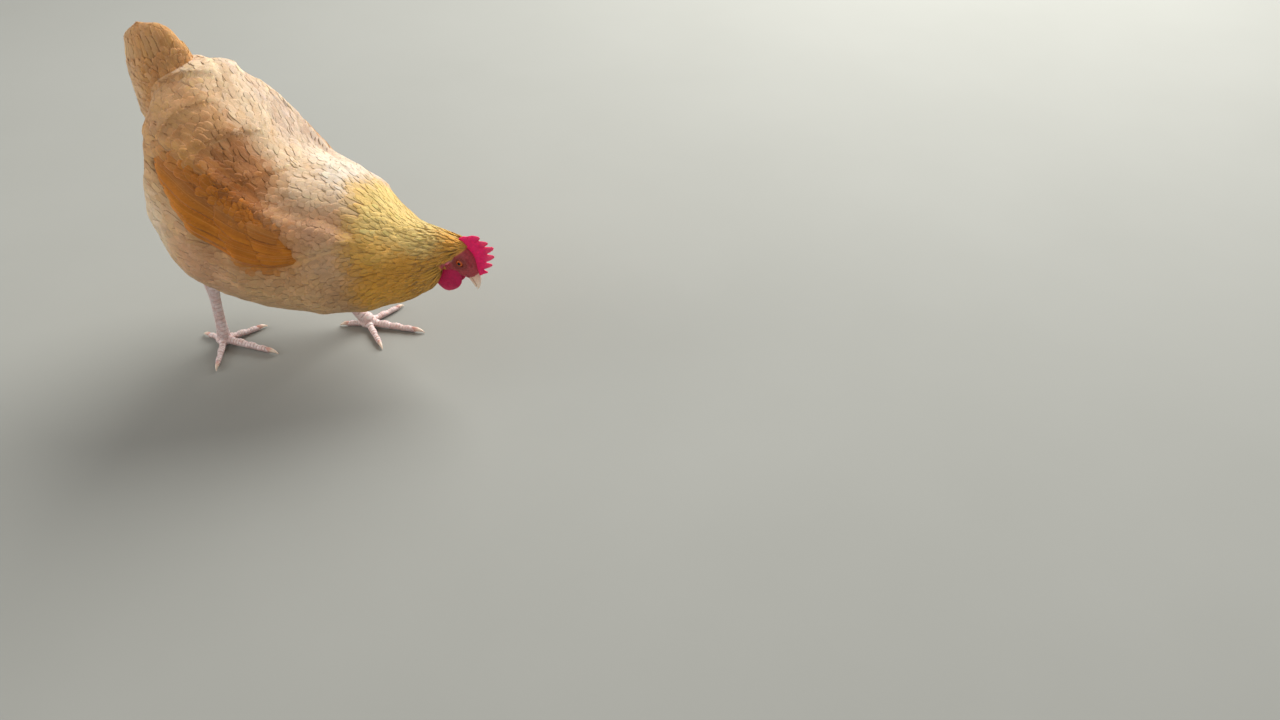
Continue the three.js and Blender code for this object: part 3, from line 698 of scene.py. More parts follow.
# How each kind of vane is made
CONTOUR = {
    "rows": np.array([0, 0.32, 0.56, 0.72, 0.84, 0.925, 0.975, 1]),  # shares of its length with points
    "columns": np.array([-1, -0.66, -0.33, 0, 0.33, 0.66, 1]),  # shares of its half width with points
    "shape": (0.4, 0.66, 0.2),  # width at the root, broadest share of the length, width at the tip
    "notch": 0.07,  # how deep its edge is notched
    "torn": 0.08,  # how unevenly its edge is torn
    "fringe": 0.6,  # how far its barbs' tips stand apart, in mm
    "roll": 0.03,  # how much it tilts to one side
    "arch": 0.03,  # how much its edges hang
    "bend": 0.16,  # how much it curves to one side
    "thick": 0.1,  # in mm
    "rise": 0.75,  # how early it rises from its root: less is earlier
    "flare": 0.08,  # how far its tip stands off
    "dip": 0.22,  # how far the last of its tip settles again
}
HACKLE = {
    **CONTOUR,
    "columns": np.linspace(-1, 1, 5),
    "shape": (0.5, 0.56, 0.12),
    "notch": 0.09,
    "fringe": 0.4,
}
FLUFF = {
    **CONTOUR,
    "rows": np.array([0, 0.36, 0.6, 0.78, 0.9, 0.96, 1]),
    "shape": (0.45, 0.55, 0.35),
    "notch": 0.15,
    "torn": 0.15,
    "fringe": 2.4,
    "roll": 0.05,
    "bend": 0.22,
    "flare": 0.2,
    "dip": 0.1,
}
FINE = {
    **HACKLE,
    "rows": np.array([0, 0.35, 0.62, 0.82, 1]),
    "columns": np.array([-1, 0, 1]),
    "notch": 0.1,
    "thick": 0.2,
}
PLUME = {**CONTOUR, "shape": (0.5, 0.72, 0.2)}
LONG = {
    **CONTOUR,
    "rows": np.linspace(0, 1, 25) ** 0.8,
    "columns": np.array([-1, -0.72, -0.36, 0, 0.36, 0.72, 1]),
    "shape": (0.45, 0.7, 0.1),
    "notch": 0.05,
    "torn": 0.03,
    "roll": 0.04,
    "arch": 0.06,
    "thick": 0.3,
}
SWEEP = 0.3  # how far a vane's edges run ahead of its shaft, against its half width
ROOT_THICKER = 1.15  # how much thicker than its middle measure a vane is at its root
FLARE_POWER, DIP_POWER, FRINGE_POWER = 5, 16, 20  # how late along the vane each of them sets in


def outline(s, root, broadest, tip):
    """How wide a vane is along its length, as a share of its width."""
    rising = root + (1 - root) * smooth(s, 0, broadest)
    falling = np.sqrt(np.clip(1 - (np.clip(s - broadest, 0, 1) / (1 - broadest)) ** 2.2, 0, 1))
    return rising * (tip + (1 - tip) * falling)


def steps_for(move, along, around):
    """The changes of t and a that make a move along a surface."""
    aa, bb = (along * along).sum(-1), (around * around).sum(-1)
    ab = (along * around).sum(-1)
    ma, mb = (move * along).sum(-1), (move * around).sum(-1)
    det = np.maximum(aa * bb - ab * ab, 1e-9)
    return (ma * bb - mb * ab) / det, (mb * aa - ma * ab) / det


def vane_grid(spot, length, width, kind, draw):
    """The points of vanes. spot(k, across, ahead, up) is a point off the shaft at row k."""
    n = len(width)
    rows, columns = kind["rows"], kind["columns"]
    tops = np.zeros((n, len(rows), len(columns), 3))
    keels = np.zeros((n, len(rows), 3))
    places = np.zeros((n, len(rows), len(columns), 3))
    tilt = draw.normal(0, kind["roll"], n)
    chance = draw.uniform(0, 100, n)
    strands = kind["fringe"] * draw.uniform(-1, 1, (n, len(columns)))
    for k, s in enumerate(rows):
        half = width / 2 * outline(s, *kind["shape"])
        for c, column in enumerate(columns):
            edge = abs(column)
            rim = float(edge > 0.99)
            kept = 1 - rim * (kind["notch"] * (k % 2) + kind["torn"] * draw.uniform(0, 1, n))
            up = half * (tilt * column - kind["arch"] * edge ** 2)
            ahead = SWEEP * edge * half * kept + strands[:, c] * s ** FRINGE_POWER
            tops[:, k, c] = spot(k, column * half * kept, ahead, up)
            places[:, k, c] = xyz(column * half * kept, s * length, chance)
        keels[:, k] = spot(k, 0 * half, 0 * half, -kind["thick"] * (ROOT_THICKER - s) + 0 * half)
    return tops, keels, places


def lay(loft, t, a, way, length, width, low, high, height, kind, draw):
    """Vanes that lie over a loft from their roots at t, a. low and high are the heights of
    root and tip against the coat's outside, which height(t, a, points) gives over the loft."""
    rows = kind["rows"]
    bend = draw.normal(0, kind["bend"], len(t))
    flare = draw.uniform(0, kind["flare"], len(t))
    stations = []
    for k, s in enumerate(rows):
        _, along, around, out = loft.frame(t, a)
        heading = unit(way - (way * out).sum(-1, keepdims=True) * out)
        side = np.cross(out, heading)
        stations.append((t, a, along, around, heading, side))
        if k + 1 < len(rows):
            gap = rows[k + 1] - s
            dt, da = steps_for(heading * (gap * length)[:, None], along, around)
            t, a = t + dt, a + da
            way = heading + side * (bend * gap)[:, None]

    def spot(k, across, ahead, up):
        t, a, along, around, heading, side = stations[k]
        dt, da = steps_for(side * across[:, None] + heading * ahead[:, None], along, around)
        point, _, _, out = loft.frame(t + dt, a + da)
        s = rows[k]
        stand = low + (high - low) * s ** kind["rise"] + flare * s ** FLARE_POWER
        stand = stand - kind["dip"] * s ** DIP_POWER
        return point + out * (height(t + dt, a + da, point) + stand + up)[:, None]

    return vane_grid(spot, length, width, kind, draw)


def scattered(loft, count, spacing, keep, seed, t_range=(0, 1), a_range=(-np.pi, np.pi)):
    """Places on a loft no closer to each other than spacing(t, a)."""
    draw = np.random.default_rng(seed)
    t, a = draw.uniform(*t_range, count), draw.uniform(*a_range, count)
    point, along, around, _ = loft.frame(t, a)
    area = np.linalg.norm(np.cross(along, around), axis=-1)
    gap = spacing(t, a)
    chance = area / gap ** 2
    chosen = (draw.uniform(0, 1, count) < chance / np.quantile(chance, 0.98)) & keep(t, a, point)
    t, a, point, gap = t[chosen], a[chosen], point[chosen], gap[chosen]
    cell = gap.max()
    grid, kept = {}, []
    keys = np.floor(point / cell).astype(int)
    near = [(i, j, k) for i in (-1, 0, 1) for j in (-1, 0, 1) for k in (-1, 0, 1)]
    for n, (x, y, z) in enumerate(keys.tolist()):
        p, limit = point[n], gap[n] ** 2
        free = True
        for i, j, k in near:
            for m in grid.get((x + i, y + j, z + k), ()):
                d = point[m] - p
                if d[0] * d[0] + d[1] * d[1] + d[2] * d[2] < limit:
                    free = False
                    break
            if not free:
                break
        if free:
            grid.setdefault((x, y, z), []).append(n)
            kept.append(n)
    return t[kept], a[kept]


# painted shade at each vane's root, under the feathers over it; the paler tip, rim and shaft are its own
# colour
ROOT_PAINTED_SHADE, TIP_PALE, RIM_PALE, SHAFT_PALE = 0.18, 0.05, 0.03, 0.06


def feather_tints(base, draw, kind, vary):
    """A colour for each point of each vane: painted shade at the root, pale along the shaft and rim."""
    n = len(base)
    one = 1 + draw.normal(0, vary, (n, 1, 1, 1))
    warm = draw.normal(0, vary * 0.4, (n, 1, 1, 1)) * np.array([-0.2, 0, 1.0])
    s = kind["rows"][None, :, None, None]
    c = np.abs(kind["columns"])[None, None, :, None]
    shade = (1 - ROOT_PAINTED_SHADE * (1 - smooth(s, 0, 0.6))) * (1 + TIP_PALE * smooth(s, 0.75, 1))
    shade = shade * (1 + RIM_PALE * c ** 3) * (1 + SHAFT_PALE * (c < 0.01) * (1 - 0.6 * s))
    return np.clip(base[:, None, None, :] * one * (1 + warm) * shade, 0.002, 0.95)


# ------------------------------------------------------------------ materials


class Net:
    """Short ways to wire a material's nodes."""

    def __init__(self, tree):
        self.tree = tree

    def add(self, kind, **settings):
        node = self.tree.nodes.new(kind)
        for key, value in settings.items():
            if key in node.inputs:
                node.inputs[key].default_value = value
            else:
                setattr(node, key, value)
        return node

    def feed(self, node, key, value):
        """Gives an input a number, a colour, or what another node puts out."""
        if isinstance(value, bpy.types.NodeSocket):
            self.tree.links.new(value, node.inputs[key])
        elif isinstance(value, (int, float)):
            node.inputs[key].default_value = value
        else:
            node.inputs[key].default_value = (*(float(v) for v in value), 1)

    def math(self, operation, first, second=None, clamp=False):
        node = self.add("ShaderNodeMath", operation=operation, use_clamp=clamp)
        self.feed(node, 0, first)
        if second is not None:
            self.feed(node, 1, second)
        return node.outputs[0]

    def times(self, first, second):
        return self.math("MULTIPLY", first, second)

    def mix(self, share, first, second, how="MIX"):
        node = self.add("ShaderNodeMix", data_type="RGBA", blend_type=how)
        for key, value in ((0, share), (6, first), (7, second)):
            self.feed(node, key, value)
        return node.outputs[2]

    def attribute(self, name, output="Color"):
        return self.add("ShaderNodeAttribute", attribute_name=name).outputs[output]

    def split(self, vector):
        """The three parts of a vector."""
        node = self.add("ShaderNodeSeparateXYZ")
        self.feed(node, 0, vector)
        return node.outputs

    def place(self):
        return self.add("ShaderNodeTexCoord").outputs["Object"]

    def noise(self, scale, detail=3.0, roughness=0.55, vector=None):
        node = self.add("ShaderNodeTexNoise", Scale=scale, Detail=detail, Roughness=roughness)
        self.feed(node, "Vector", vector or self.place())
        return node.outputs["Fac"]

    def cells(self, scale, feature):
        node = self.add("ShaderNodeTexVoronoi", feature=feature, Scale=scale)
        self.feed(node, "Vector", self.place())
        return node.outputs["Distance"]

    def ramp(self, value, *stops):
        """A value taken from one span, from its low to its high end, to another."""
        node = self.add("ShaderNodeMapRange")
        self.feed(node, "Value", value)
        for key, number in zip(("From Min", "From Max", "To Min", "To Max"), stops):
            self.feed(node, key, number)
        return node.outputs["Result"]

    def tinted(self, shade):
        """The mesh's own colours, made darker and lighter by a shade."""
        grey = self.add("ShaderNodeCombineColor")
        for key in range(3):
            self.feed(grey, key, shade)
        return self.mix(1.0, self.attribute("Tint"), grey.outputs[0], "MULTIPLY")

    def patchy(self, scale, dark, light):
        """The mesh's own colours, in soft darker and lighter patches."""
        return self.tinted(self.ramp(self.noise(scale, 4), 0.3, 0.7, dark, light))

    def bump(self, shader, height, strength, distance):
        node = self.add("ShaderNodeBump", Strength=strength, Distance=distance)
        self.feed(node, "Height", height)
        self.feed(shader, "Normal", node.outputs["Normal"])


def set_shader(shader, **values):
    for key, value in values.items():
        shader.inputs[key.replace("_", " ")].default_value = value


def plumage(net, shader):
    """Barbs run out and forward from the shaft, and the web is matt with a soft sheen."""
    aside, along, chance = net.split(net.attribute("Vane", "Vector"))
    across = net.math("ABSOLUTE", aside)
    spread = net.add("ShaderNodeCombineXYZ")
    net.feed(spread, 0, net.times(net.math("SUBTRACT", along, across), 2.2))
    net.feed(spread, 1, net.times(aside, 0.35))
    net.feed(spread, 2, chance)
    barbs = net.noise(1.0, 2, 0.6, spread.outputs[0])
    soft = net.ramp(net.noise(90, 3), 0.25, 0.75, 0.92, 1.08)
    base = net.tinted(net.times(soft, net.ramp(barbs, 0.3, 0.7, 0.86, 1.12)))
    shaft = net.math("SUBTRACT", 1.0, net.times(across, 3.2), clamp=True)
    net.feed(shader, "Base Color", net.mix(net.times(shaft, 0.18), base, PALE))
    net.bump(shader, barbs, 0.55, 0.0004)
    set_shader(shader, Roughness=0.8, Sheen_Weight=0.12, Sheen_Roughness=0.4, Specular_IOR_Level=0.15)
    set_shader(shader, Sheen_Tint=(1.0, 0.95, 0.85, 1), Subsurface_Weight=0.35, Subsurface_Scale=0.003)
    set_shader(shader, Subsurface_Radius=(1.0, 0.55, 0.25))


def pebbled(net, shader, warts, grains, share, depth):
    """Small round warts, with finer grains over them."""
    grain = net.times(net.noise(grains, 3), share)
    net.bump(shader, net.math("ADD", net.cells(warts, "SMOOTH_F1"), grain), 0.6, depth)


def naked_skin(net, shader):
    """The skin: the coat's colours where it is covered, and pebbled red on the face."""
    net.feed(shader, "Base Color", net.patchy(420, 0.72, 1.15))
    pebbled(net, shader, 900, 1600, 0.5, 0.0008)
    set_shader(shader, Roughness=0.55, Subsurface_Weight=0.12, Subsurface_Scale=0.004)


def comb_flesh(net, shader):
    """Comb and wattles: waxy crimson, pebbled with fine warts."""
    net.feed(shader, "Base Color", net.patchy(260, 0.82, 1.12))
    pebbled(net, shader, 1100, 2200, 0.4, 0.0007)
    set_shader(shader, Roughness=0.5, Subsurface_Weight=0.25, Subsurface_Scale=0.003)
    set_shader(shader, Specular_IOR_Level=0.3, Subsurface_Radius=(1.0, 0.2, 0.15))


def horn(net, shader):
    """Bill and claws: a smooth sheen over soft patches and a fine grain."""
    net.feed(shader, "Base Color", net.patchy(700, 0.88, 1.08))
    net.bump(shader, net.noise(1500, 3), 0.18, 0.0003)
    set_shader(shader, Roughness=0.33, Subsurface_Weight=0.08, Subsurface_Scale=0.002, Coat_Weight=0.15)


SCALE_JOIN = linear("8f5a50")


def scaly_skin(net, shader):
    """Shanks and toes: dry scales with darker joins, in rows ahead and small cells behind."""
    count, on_row, _ = net.split(net.attribute("Scute", "Vector"))
    from_middle = net.math("ABSOLUTE", net.math("SUBTRACT", net.math("FRACT", count), 0.5))
    join = net.times(net.ramp(from_middle, 0.36, 0.5, 0.0, 1.0), on_row)
    small = net.ramp(net.cells(600, "DISTANCE_TO_EDGE"), 0.0, 0.14, 1.0, 0.0)
    behind = net.math("SUBTRACT", 1.0, on_row, clamp=True)
    gaps = net.math("MAXIMUM", join, net.times(small, behind))
    base = net.mix(net.times(gaps, 0.6), net.patchy(300, 0.86, 1.1), SCALE_JOIN)
    net.feed(shader, "Base Color", base)
    net.bump(shader, net.math("SUBTRACT", net.times(net.noise(900, 3), 0.2), gaps), 0.6, 0.0005)
    set_shader(shader, Roughness=0.48, Subsurface_Weight=0.08, Subsurface_Scale=0.0015)


def eye_glass(net, shader):
    net.feed(shader, "Base Color", net.attribute("Tint"))
    set_shader(shader, Roughness=0.5, Coat_Weight=0.7, Coat_Roughness=0.02, Specular_IOR_Level=0.0)


def material(name, build):
    made = bpy.data.materials.new(name)
    made.use_nodes = True
    made.node_tree.nodes.clear()
    net = Net(made.node_tree)
    shader = net.add("ShaderNodeBsdfPrincipled")
    net.feed(net.add("ShaderNodeOutputMaterial"), "Surface", shader.outputs["BSDF"])
    build(net, shader)
    return made


PLUMAGE = material("plumage", plumage)
SKIN = material("skin", naked_skin)
FLESH = material("comb_flesh", comb_flesh)
HORN = material("horn", horn)
SCALES = material("scaly_skin", scaly_skin)
GLASS = material("eye", eye_glass)

# ------------------------------------------------------------------ tail and thighs

TAIL = {"x": -72.0, "z": 296.0, "turn": 108.0}  # its root, and how far it points up and back
TAIL_FORM = [  # along the tail, to its front, to its rear, half width
    (-40, 18, 48, 34),
    (-10, 30, 53, 36),
    (20, 33, 52, 33),
    (50, 37, 46, 29),
    (75, 40, 38, 24),
    (94, 36, 31, 17),
    (107, 24, 22, 10),
    (113, 4, 4, 2),
]


def tail_sections(t):
    rows = spline(TAIL_FORM, t)
    turn = math.radians(TAIL["turn"])
    way = np.array([math.cos(turn), 0, math.sin(turn)])
    rear = np.array([-math.sin(turn), 0, math.cos(turn)])
    centre = np.array([TAIL["x"], 0, TAIL["z"]]) + way * rows[..., 0:1]
    return centre, xyz(0, -rows[..., 3], 0), -rear * rows[..., 1:2], rear * rows[..., 2:3]


CORE_SHARE = 0.92  # how much of the tail's length its fleshy core has
TAIL_LOFT = Loft(tail_sections)
TAIL_CORE = Loft(lambda t: tail_sections(CORE_SHARE * t))

LEGS = {
    "right": {
        "side": -1,
        "hip": (-40, 170),
        "hock": (-76, 100),
        "palm": (-80, 9),
        "toes": {"middle": -4, "inner": 50, "outer": -72, "hind": 166},
    },
    "left": {
        "side": 1,
        "hip": (-6, 150),
        "hock": (16, 74),
        "palm": (80, 9),
        "toes": {"middle": 2, "inner": -48, "outer": 60, "hind": -166},
    },
}
LEG_Y = 38.0  # how far each leg is from the middle
HIP_OUT = 6.0  # how much further out the hip is
THIN_FROM, THIN_TO = 0.7, 1  # the shares of the thigh's length between which it gets thin
THIGH = [(0, 38), (0.3, 39), (0.6, 32), (0.82, 21), (0.95, 13), (1.03, 8.5)]  # share, radius


def leg_point(leg, name, extra=0.0):
    x, z = leg[name]
    return np.array([x, leg["side"] * (LEG_Y + extra), z], float)


def thigh_loft(leg):
    hip, hock = leg_point(leg, "hip", HIP_OUT), leg_point(leg, "hock")
    points = [hip + (hock - hip) * s for s, _ in THIGH]
    return rod_loft(points, [r for _, r in THIGH], up=(1, 0, 0))


# ------------------------------------------------------------------ the body's skin

SKIN_INSET = 0.6  # the skin lies this far under the feathers' roots
CORE_INSET = 5.0  # and this far under the tail's form
THIGH_INSET, HOCK_INSET = 4.0, 2.0  # and under the thigh's, and near the hock
BODY_GRAIN, HEAD_GRAIN, FINE_GRAIN, LOBE_GRAIN, FOOT_GRAIN = 2.2, 0.6, 0.5, 0.4, 0.55  # face sizes


def body_depth(t, a):
    return measure(DEPTH, t, a)


def under_coat(t, a, points):
    return coat_height(t, a, points) - body_depth(t, a) - SKIN_INSET


def under_fluff(t, a, points):
    return (THIGH_INSET - HOCK_INSET) * smooth(t, THIN_FROM, THIN_TO) - THIGH_INSET


def body_form():
    """Torso, neck, thighs and the tail's core, grown together."""
    pieces = [skin_of(BODY, 150, 120, under_coat)]
    pieces.append(skin_of(TAIL_CORE, 40, 40, lambda t, a, points: 0 * t - CORE_INSET))
    pieces += [skin_of(thigh_loft(leg), 30, 40, under_fluff) for leg in LEGS.values()]
    return melted("body_form", pieces, BODY_GRAIN, 6)


# ------------------------------------------------------------------ the head

SKULL = [  # x, crown, throat, half width
    (-30, 2, 5, 4),
    (-24, 8, 12, 9),
    (-16, 12.5, 17, 12.8),
    (-8, 15, 19.5, 14.4),
    (0, 16.3, 19.5, 15.2),
    (8, 14.6, 17, 13.2),
    (15, 11.6, 14, 10.6),
    (21, 9, 11.8, 8.2),
    (25, 7.6, 10, 6.6),
]
EYE_SPOT, EYE_RADIUS = np.array([0, 11.9, EYE_OVER_HEAD]), 5.0
SOCKET_GAP = 0.25
HEAD_PADS = [  # on each side: x, y, z, and radii
    ((3, 10.6, 8.4), (9, 4.2, 2.6)),  # brow
    ((-1, 8.2, -9.5), (9.5, 6.6, 8.2)),  # cheek
    ((11, 6.4, -6.6), (9, 5, 5.6)),  # between cheek and bill
]
MOUTH_CORNER = ((20.5, 8.6, -3.6), (8, 3.2, 0.7))
EAR_HOLE = ((-9.5, 15.6, -8.6), (1.5, 1.6, 3.4))
THROAT = [(16, 0, -8), (6, 0, -15), (-3, 0, -23), (-14, 0, -28)]
THROAT_RADII = [6, 8.5, 10.5, 11]
FACE_FROM = -9.5  # along the bill, where the feathers end beside the eye
THROAT_FROM = 5.0  # and where they end behind the wattle

FACE_RED = linear("a83a42")
FACE_DARK = linear("85302a")
EAR_PALE = linear("d8b3a2")


def face_border(z):
    """How far along the bill the feathers end, at a height in the head's own frame."""
    return FACE_FROM + (THROAT_FROM - FACE_FROM) * smooth(-z, 18, 24)


def on_head(side, spot, radii, tilt=0.0, sides=32):
    """An egg form on one side of the head, with its front tilted down."""
    turn = np.array(Matrix.Rotation(tilt, 3, "Y"))
    return ball(np.array(spot) * [1, side, 1], radii, from_head, turn, sides=sides)


LID_STEPS, LID_SIDES = 48, 12
LID_WIDE, LID_HIGH, LID_OUT = 1.14, 0.9, 2.75  # its opening against the eye, and how far out it is
LID_THICK, LID_THICKER, LID_CURVE = 1.15, 0.25, 0.012  # thicker above, and curved with the eye


def eyelid(name, side):
    """A rim round the eye, as a closed ring, thicker above it."""
    u, v = np.meshgrid(turns(LID_STEPS), turns(LID_SIDES), indexing="ij")
    thick = LID_THICK + LID_THICKER * np.sin(u)
    r = EYE_RADIUS + 0.1 + thick * np.cos(v)
    x = LID_WIDE * r * np.cos(u)
    z = LID_HIGH * r * np.sin(u)
    y = LID_OUT + thick * 0.9 * np.sin(v) - LID_CURVE * x * x
    points = (xyz(x, y, z) + EYE_SPOT).reshape(-1, 3) * [1, side, 1]
    quads = ring_quads(LID_STEPS, LID_SIDES, closed=True)
    return new_object(f"lid_{name}", from_head(points), [quads if side > 0 else quads[:, ::-1]])


PAPILLAE = Ripple(2.3, 5, 24)
FOLDS = Ripple(7, 6, 12)
PAPILLA_HEIGHT, FOLD_HEIGHT = 0.16, 0.28


def head_form():
    """Skull, brows, cheeks and throat as one form, with sockets, lids, mouth corners and ears."""
    skull = level_loft([(x, 0, 0, up, down, half) for x, up, down, half in SKULL])
    pieces = [skin_of(skull, 60, 64, place=from_head)]
    pieces += [on_head(side, *pad) for side in SIDES.values() for pad in HEAD_PADS]
    pieces.append(skin_of(rod_loft(THROAT, THROAT_RADII, up=(0, 1, 0)), 30, 40, place=from_head))
    made = melted("head_form", pieces, HEAD_GRAIN, 5)
    for side in SIDES.values():
        cut(made, on_head(side, EYE_SPOT, [EYE_RADIUS + SOCKET_GAP] * 3, sides=48))
    made = melted("head_form", [made, *both_sides(eyelid)], FINE_GRAIN, 3)
    for side in SIDES.values():
        cut(made, on_head(side, *MOUTH_CORNER))
        cut(made, on_head(side, *EAR_HOLE))
    points = coordinates(made)
    local = to_head(points)
    beside = xyz(local[:, 0], np.abs(local[:, 1]), local[:, 2])
    calm = smooth(np.sqrt(((beside - EYE_SPOT) ** 2).sum(1)), 5.4, 8.5)
    relief = PAPILLA_HEIGHT * PAPILLAE.at(local) + FOLD_HEIGHT * FOLDS.at(local)
    raise_by(made, points, relief * calm)
    return made


def nearest_on_body(points):
    """About which t and a of the body's loft each point lies at."""
    t, a = round_grid(60, 48)
    grid = BODY.at(t, a).reshape(-1, 3)
    found = np.zeros(len(points), int)
    some = 4000  # points taken at a time, to save memory
    for i in range(0, len(points), some):
        part = points[i:i + some]
        apart = (part ** 2).sum(1)[:, None] - 2 * part @ grid.T + (grid ** 2).sum(1)[None]
        found[i:i + some] = apart.argmin(1)
    return t.ravel()[found], a.ravel()[found]


SKIN_SHADE = 0.8  # the skin's colour against the coat's
TAIL_MIDDLE, TAIL_REACH = np.array([TAIL["x"], 0, TAIL["z"] + 40]), 70
EAR_PATCH = {"x": -7.2, "z": -9.0, "long": 1.8, "high": 4.4}


def face_colour(local):
    """Red, darker round the eye, and pale on the ear."""
    x, y, z = local.T
    from_eye = np.sqrt((x - 1) ** 2 + (z - 1) ** 2)
    red = blend(FACE_DARK, FACE_RED, smooth(from_eye, 7, 12))
    ahead, over = (x - EAR_PATCH["x"]) / EAR_PATCH["long"], (z - EAR_PATCH["z"]) / EAR_PATCH["high"]
    return blend(red, EAR_PALE, 0.8 * np.exp(-ahead ** 2 - over ** 2) * (np.abs(y) > 8))


def skin():
    """One skin for torso, neck, head, thighs and the tail's core."""
    made = body_form()
    cut(made, head_form(), "UNION")
    made.name = "skin"
    points = coordinates(made)
    local = to_head(points)
    tint = body_tint(*nearest_on_body(points))
    on_tail = np.linalg.norm(points - TAIL_MIDDLE, axis=1) < TAIL_REACH
    tint = SKIN_SHADE * np.where(on_tail[:, None], BROWN, tint)
    face = smooth(local[:, 0] - face_border(local[:, 2]), -1.5, 0.5) * (np.linalg.norm(local, axis=1) < 60)
    paint(made, blend(tint, face_colour(local), face))
    return finished(made, SKIN, "face", "torso", "neck", "head", "thigh_left", "thigh_right")


skin()

# ------------------------------------------------------------------ comb, wattles, earlobes

COMB_RED = linear("ec1e68")
COMB_EDGE = linear("ee5f7e")

COMB_BLADE = [  # x, low, high, half thickness
    (-23, 8, 18, 1.6),
    (-20, 8, 22, 2.6),
    (-12, 9, 27, 3.0),
    (-2, 10, 29, 3.1),
    (8, 8, 27.5, 3.0),
    (17, 6, 22.5, 2.7),
    (24, 4, 15, 2.2),
    (29, 3, 9.5, 1.3),
]
COMB_POINTS = [  # root x, z, tip x, z, half width at the root
    (-16, 20, -14.5, 35, 5.2),
    (-7.5, 23, -5.5, 41, 4.9),
    (1.5, 23, 3.5, 42.8, 5.0),
    (10.5, 20, 13.2, 37.5, 4.8),
    (18.5, 15, 22.4, 28, 4.2),
    (25, 9, 28.6, 17.5, 3.0),
]
COMB_TAPER = [(0, 1.1), (0.3, 1.02), (0.55, 0.86), (0.8, 0.58), (0.94, 0.36), (1, 0.12)]  # share, width
COMB_SWAY = 0.5  # how far its points lean to either side


def comb():
    middles = [(x, (low + high) / 2, (high - low) / 2, half) for x, low, high, half in COMB_BLADE]
    blade = level_loft([(x, 0, z, tall, tall, half) for x, z, tall, half in middles])
    pieces = [skin_of(blade, 50, 40, place=from_head)]
    for i, (x0, z0, x1, z1, half) in enumerate(COMB_POINTS):
        sway = (-1) ** i * COMB_SWAY
        points = [(x0 + (x1 - x0) * s, sway * s * s, z0 + (z1 - z0) * s) for s, _ in COMB_TAPER]
        finger = rod_loft(points, [half * wide for _, wide in COMB_TAPER], flat=0.5, up=(0, 1, 0))
        pieces.append(skin_of(finger, 24, 24, place=from_head))
    made = melted("comb_flesh", pieces, FINE_GRAIN, 6)
    local = to_head(coordinates(made))
    local[:, 1] += 0.8 * Ripple(22, 12).at(local * [1, 0, 1]) * smooth(local[:, 2], 14, 34)
    raise_by(made, from_head(local), 0.11 * Ripple(1.9, 15, 24).at(local) + 0.15 * FOLDS.at(local))
    edge = smooth(local[:, 2] - np.interp(local[:, 0], [-22, 0, 24], [26, 30, 14]), 0, 11)
    paint(made, blend(COMB_RED, COMB_EDGE, 0.55 * edge))
    return finished(made, FLESH, "comb", "comb")


WATTLE = {"x": 224.0, "z": 148.0, "back": 0.16}  # its root, and how far back it hangs
WATTLE_ROWS = [  # drop, half width, half thickness, distance from the middle
    (-5, 5, 2.0, 4.5),
    (0, 8, 2.4, 5.2),
    (6, 12.4, 2.6, 6.6),
    (14, 15.8, 2.6, 8.1),
    (22, 15.8, 2.3, 8.6),
    (29, 11.8, 1.9, 8.1),
    (34, 5.6, 1.2, 7.4),
    (35.4, 1.5, 0.5, 7.2),
]
WATTLE_PAINTED_SHADE = 0.58  # how dark the wattles are against the comb, as painted shade where they hang under the head
LOBE = [  # on each side: x, y, z, and radii
    ((-8, 13.7, -13.5), (4.2, 2.3, 5.2)),
    ((-6.5, 13.2, -17.5), (2.8, 1.8, 3.2)),
]


def wattle(name, side):
    def sections(t):
        drop, half, thick, out = np.moveaxis(spline(WATTLE_ROWS, t), -1, 0)
        centre = xyz(WATTLE["x"] - drop * WATTLE["back"], side * out, WATTLE["z"] - drop)
        return centre, xyz(-half, 0, 0), xyz(0, thick, 0), xyz(0, -thick, 0)

    made = melted(f"wattle_flesh_{name}", [skin_of(Loft(sections), 60, 96)], FINE_GRAIN, 3)
    points = coordinates(made)
    drop = WATTLE["z"] - points[:, 2]
    points[:, 1] += 0.7 * Ripple(15, 21 + side).at(points * [1, 0, 1]) * smooth(drop, 6, 28)
    raise_by(made, points, 0.13 * Ripple(2.0, 25, 24).at(points) + 0.12 * FOLDS.at(points))
    paint(made, blend(COMB_RED * WATTLE_PAINTED_SHADE, COMB_EDGE, 0.25 * smooth(drop, 24, 36)))
    return finished(made, FLESH, "comb", f"wattle_{name}")


def earlobe(name, side):
    pieces = [on_head(side, *form) for form in LOBE]
    made = melted(f"earlobe_flesh_{name}", pieces, LOBE_GRAIN, 3)
    points = coordinates(made)
    raise_by(made, points, 0.12 * PAPILLAE.at(points))
    low = smooth(to_head(points)[:, 2], -18, -10)
    paint(made, blend(COMB_RED, EAR_PALE, 0.5 * low))
    return finished(made, FLESH, "comb", f"earlobe_{name}")


comb()
both_sides(wattle)
both_sides(earlobe)

# ------------------------------------------------------------------ bill and eyes

BILL_TOP = [  # x, ridge, mouth line, half width
    (12, 9.5, -2.0, 7.6),
    (18, 8.8, -2.4, 7.0),
    (24, 7.5, -2.7, 6.1),
    (30, 5.2, -3.3, 4.8),
    (35, 2.4, -4.3, 3.7),
    (39.5, -1.2, -6.0, 2.5),
    (42.6, -4.8, -8.0, 1.5),
    (44.4, -8.2, -9.7, 0.6),
]
BILL_LOW = [  # x, mouth line, under side, half width
    (12, -2.5, -9.8, 6.9),
    (18, -2.8, -9.4, 6.3),
    (24, -3.1, -9.2, 5.5),
    (30, -3.8, -9.0, 4.3),
    (35, -4.9, -9.2, 3.2),
    (38.8, -6.5, -9.7, 2.1),
    (41.2, -8.3, -10.0, 0.8),
]
BILL_PINK = linear("e3b9a2")
BILL_TIP = linear("efd9c2")
LIP = 0.1  # how far the widest line is from the mouth, against the half's height
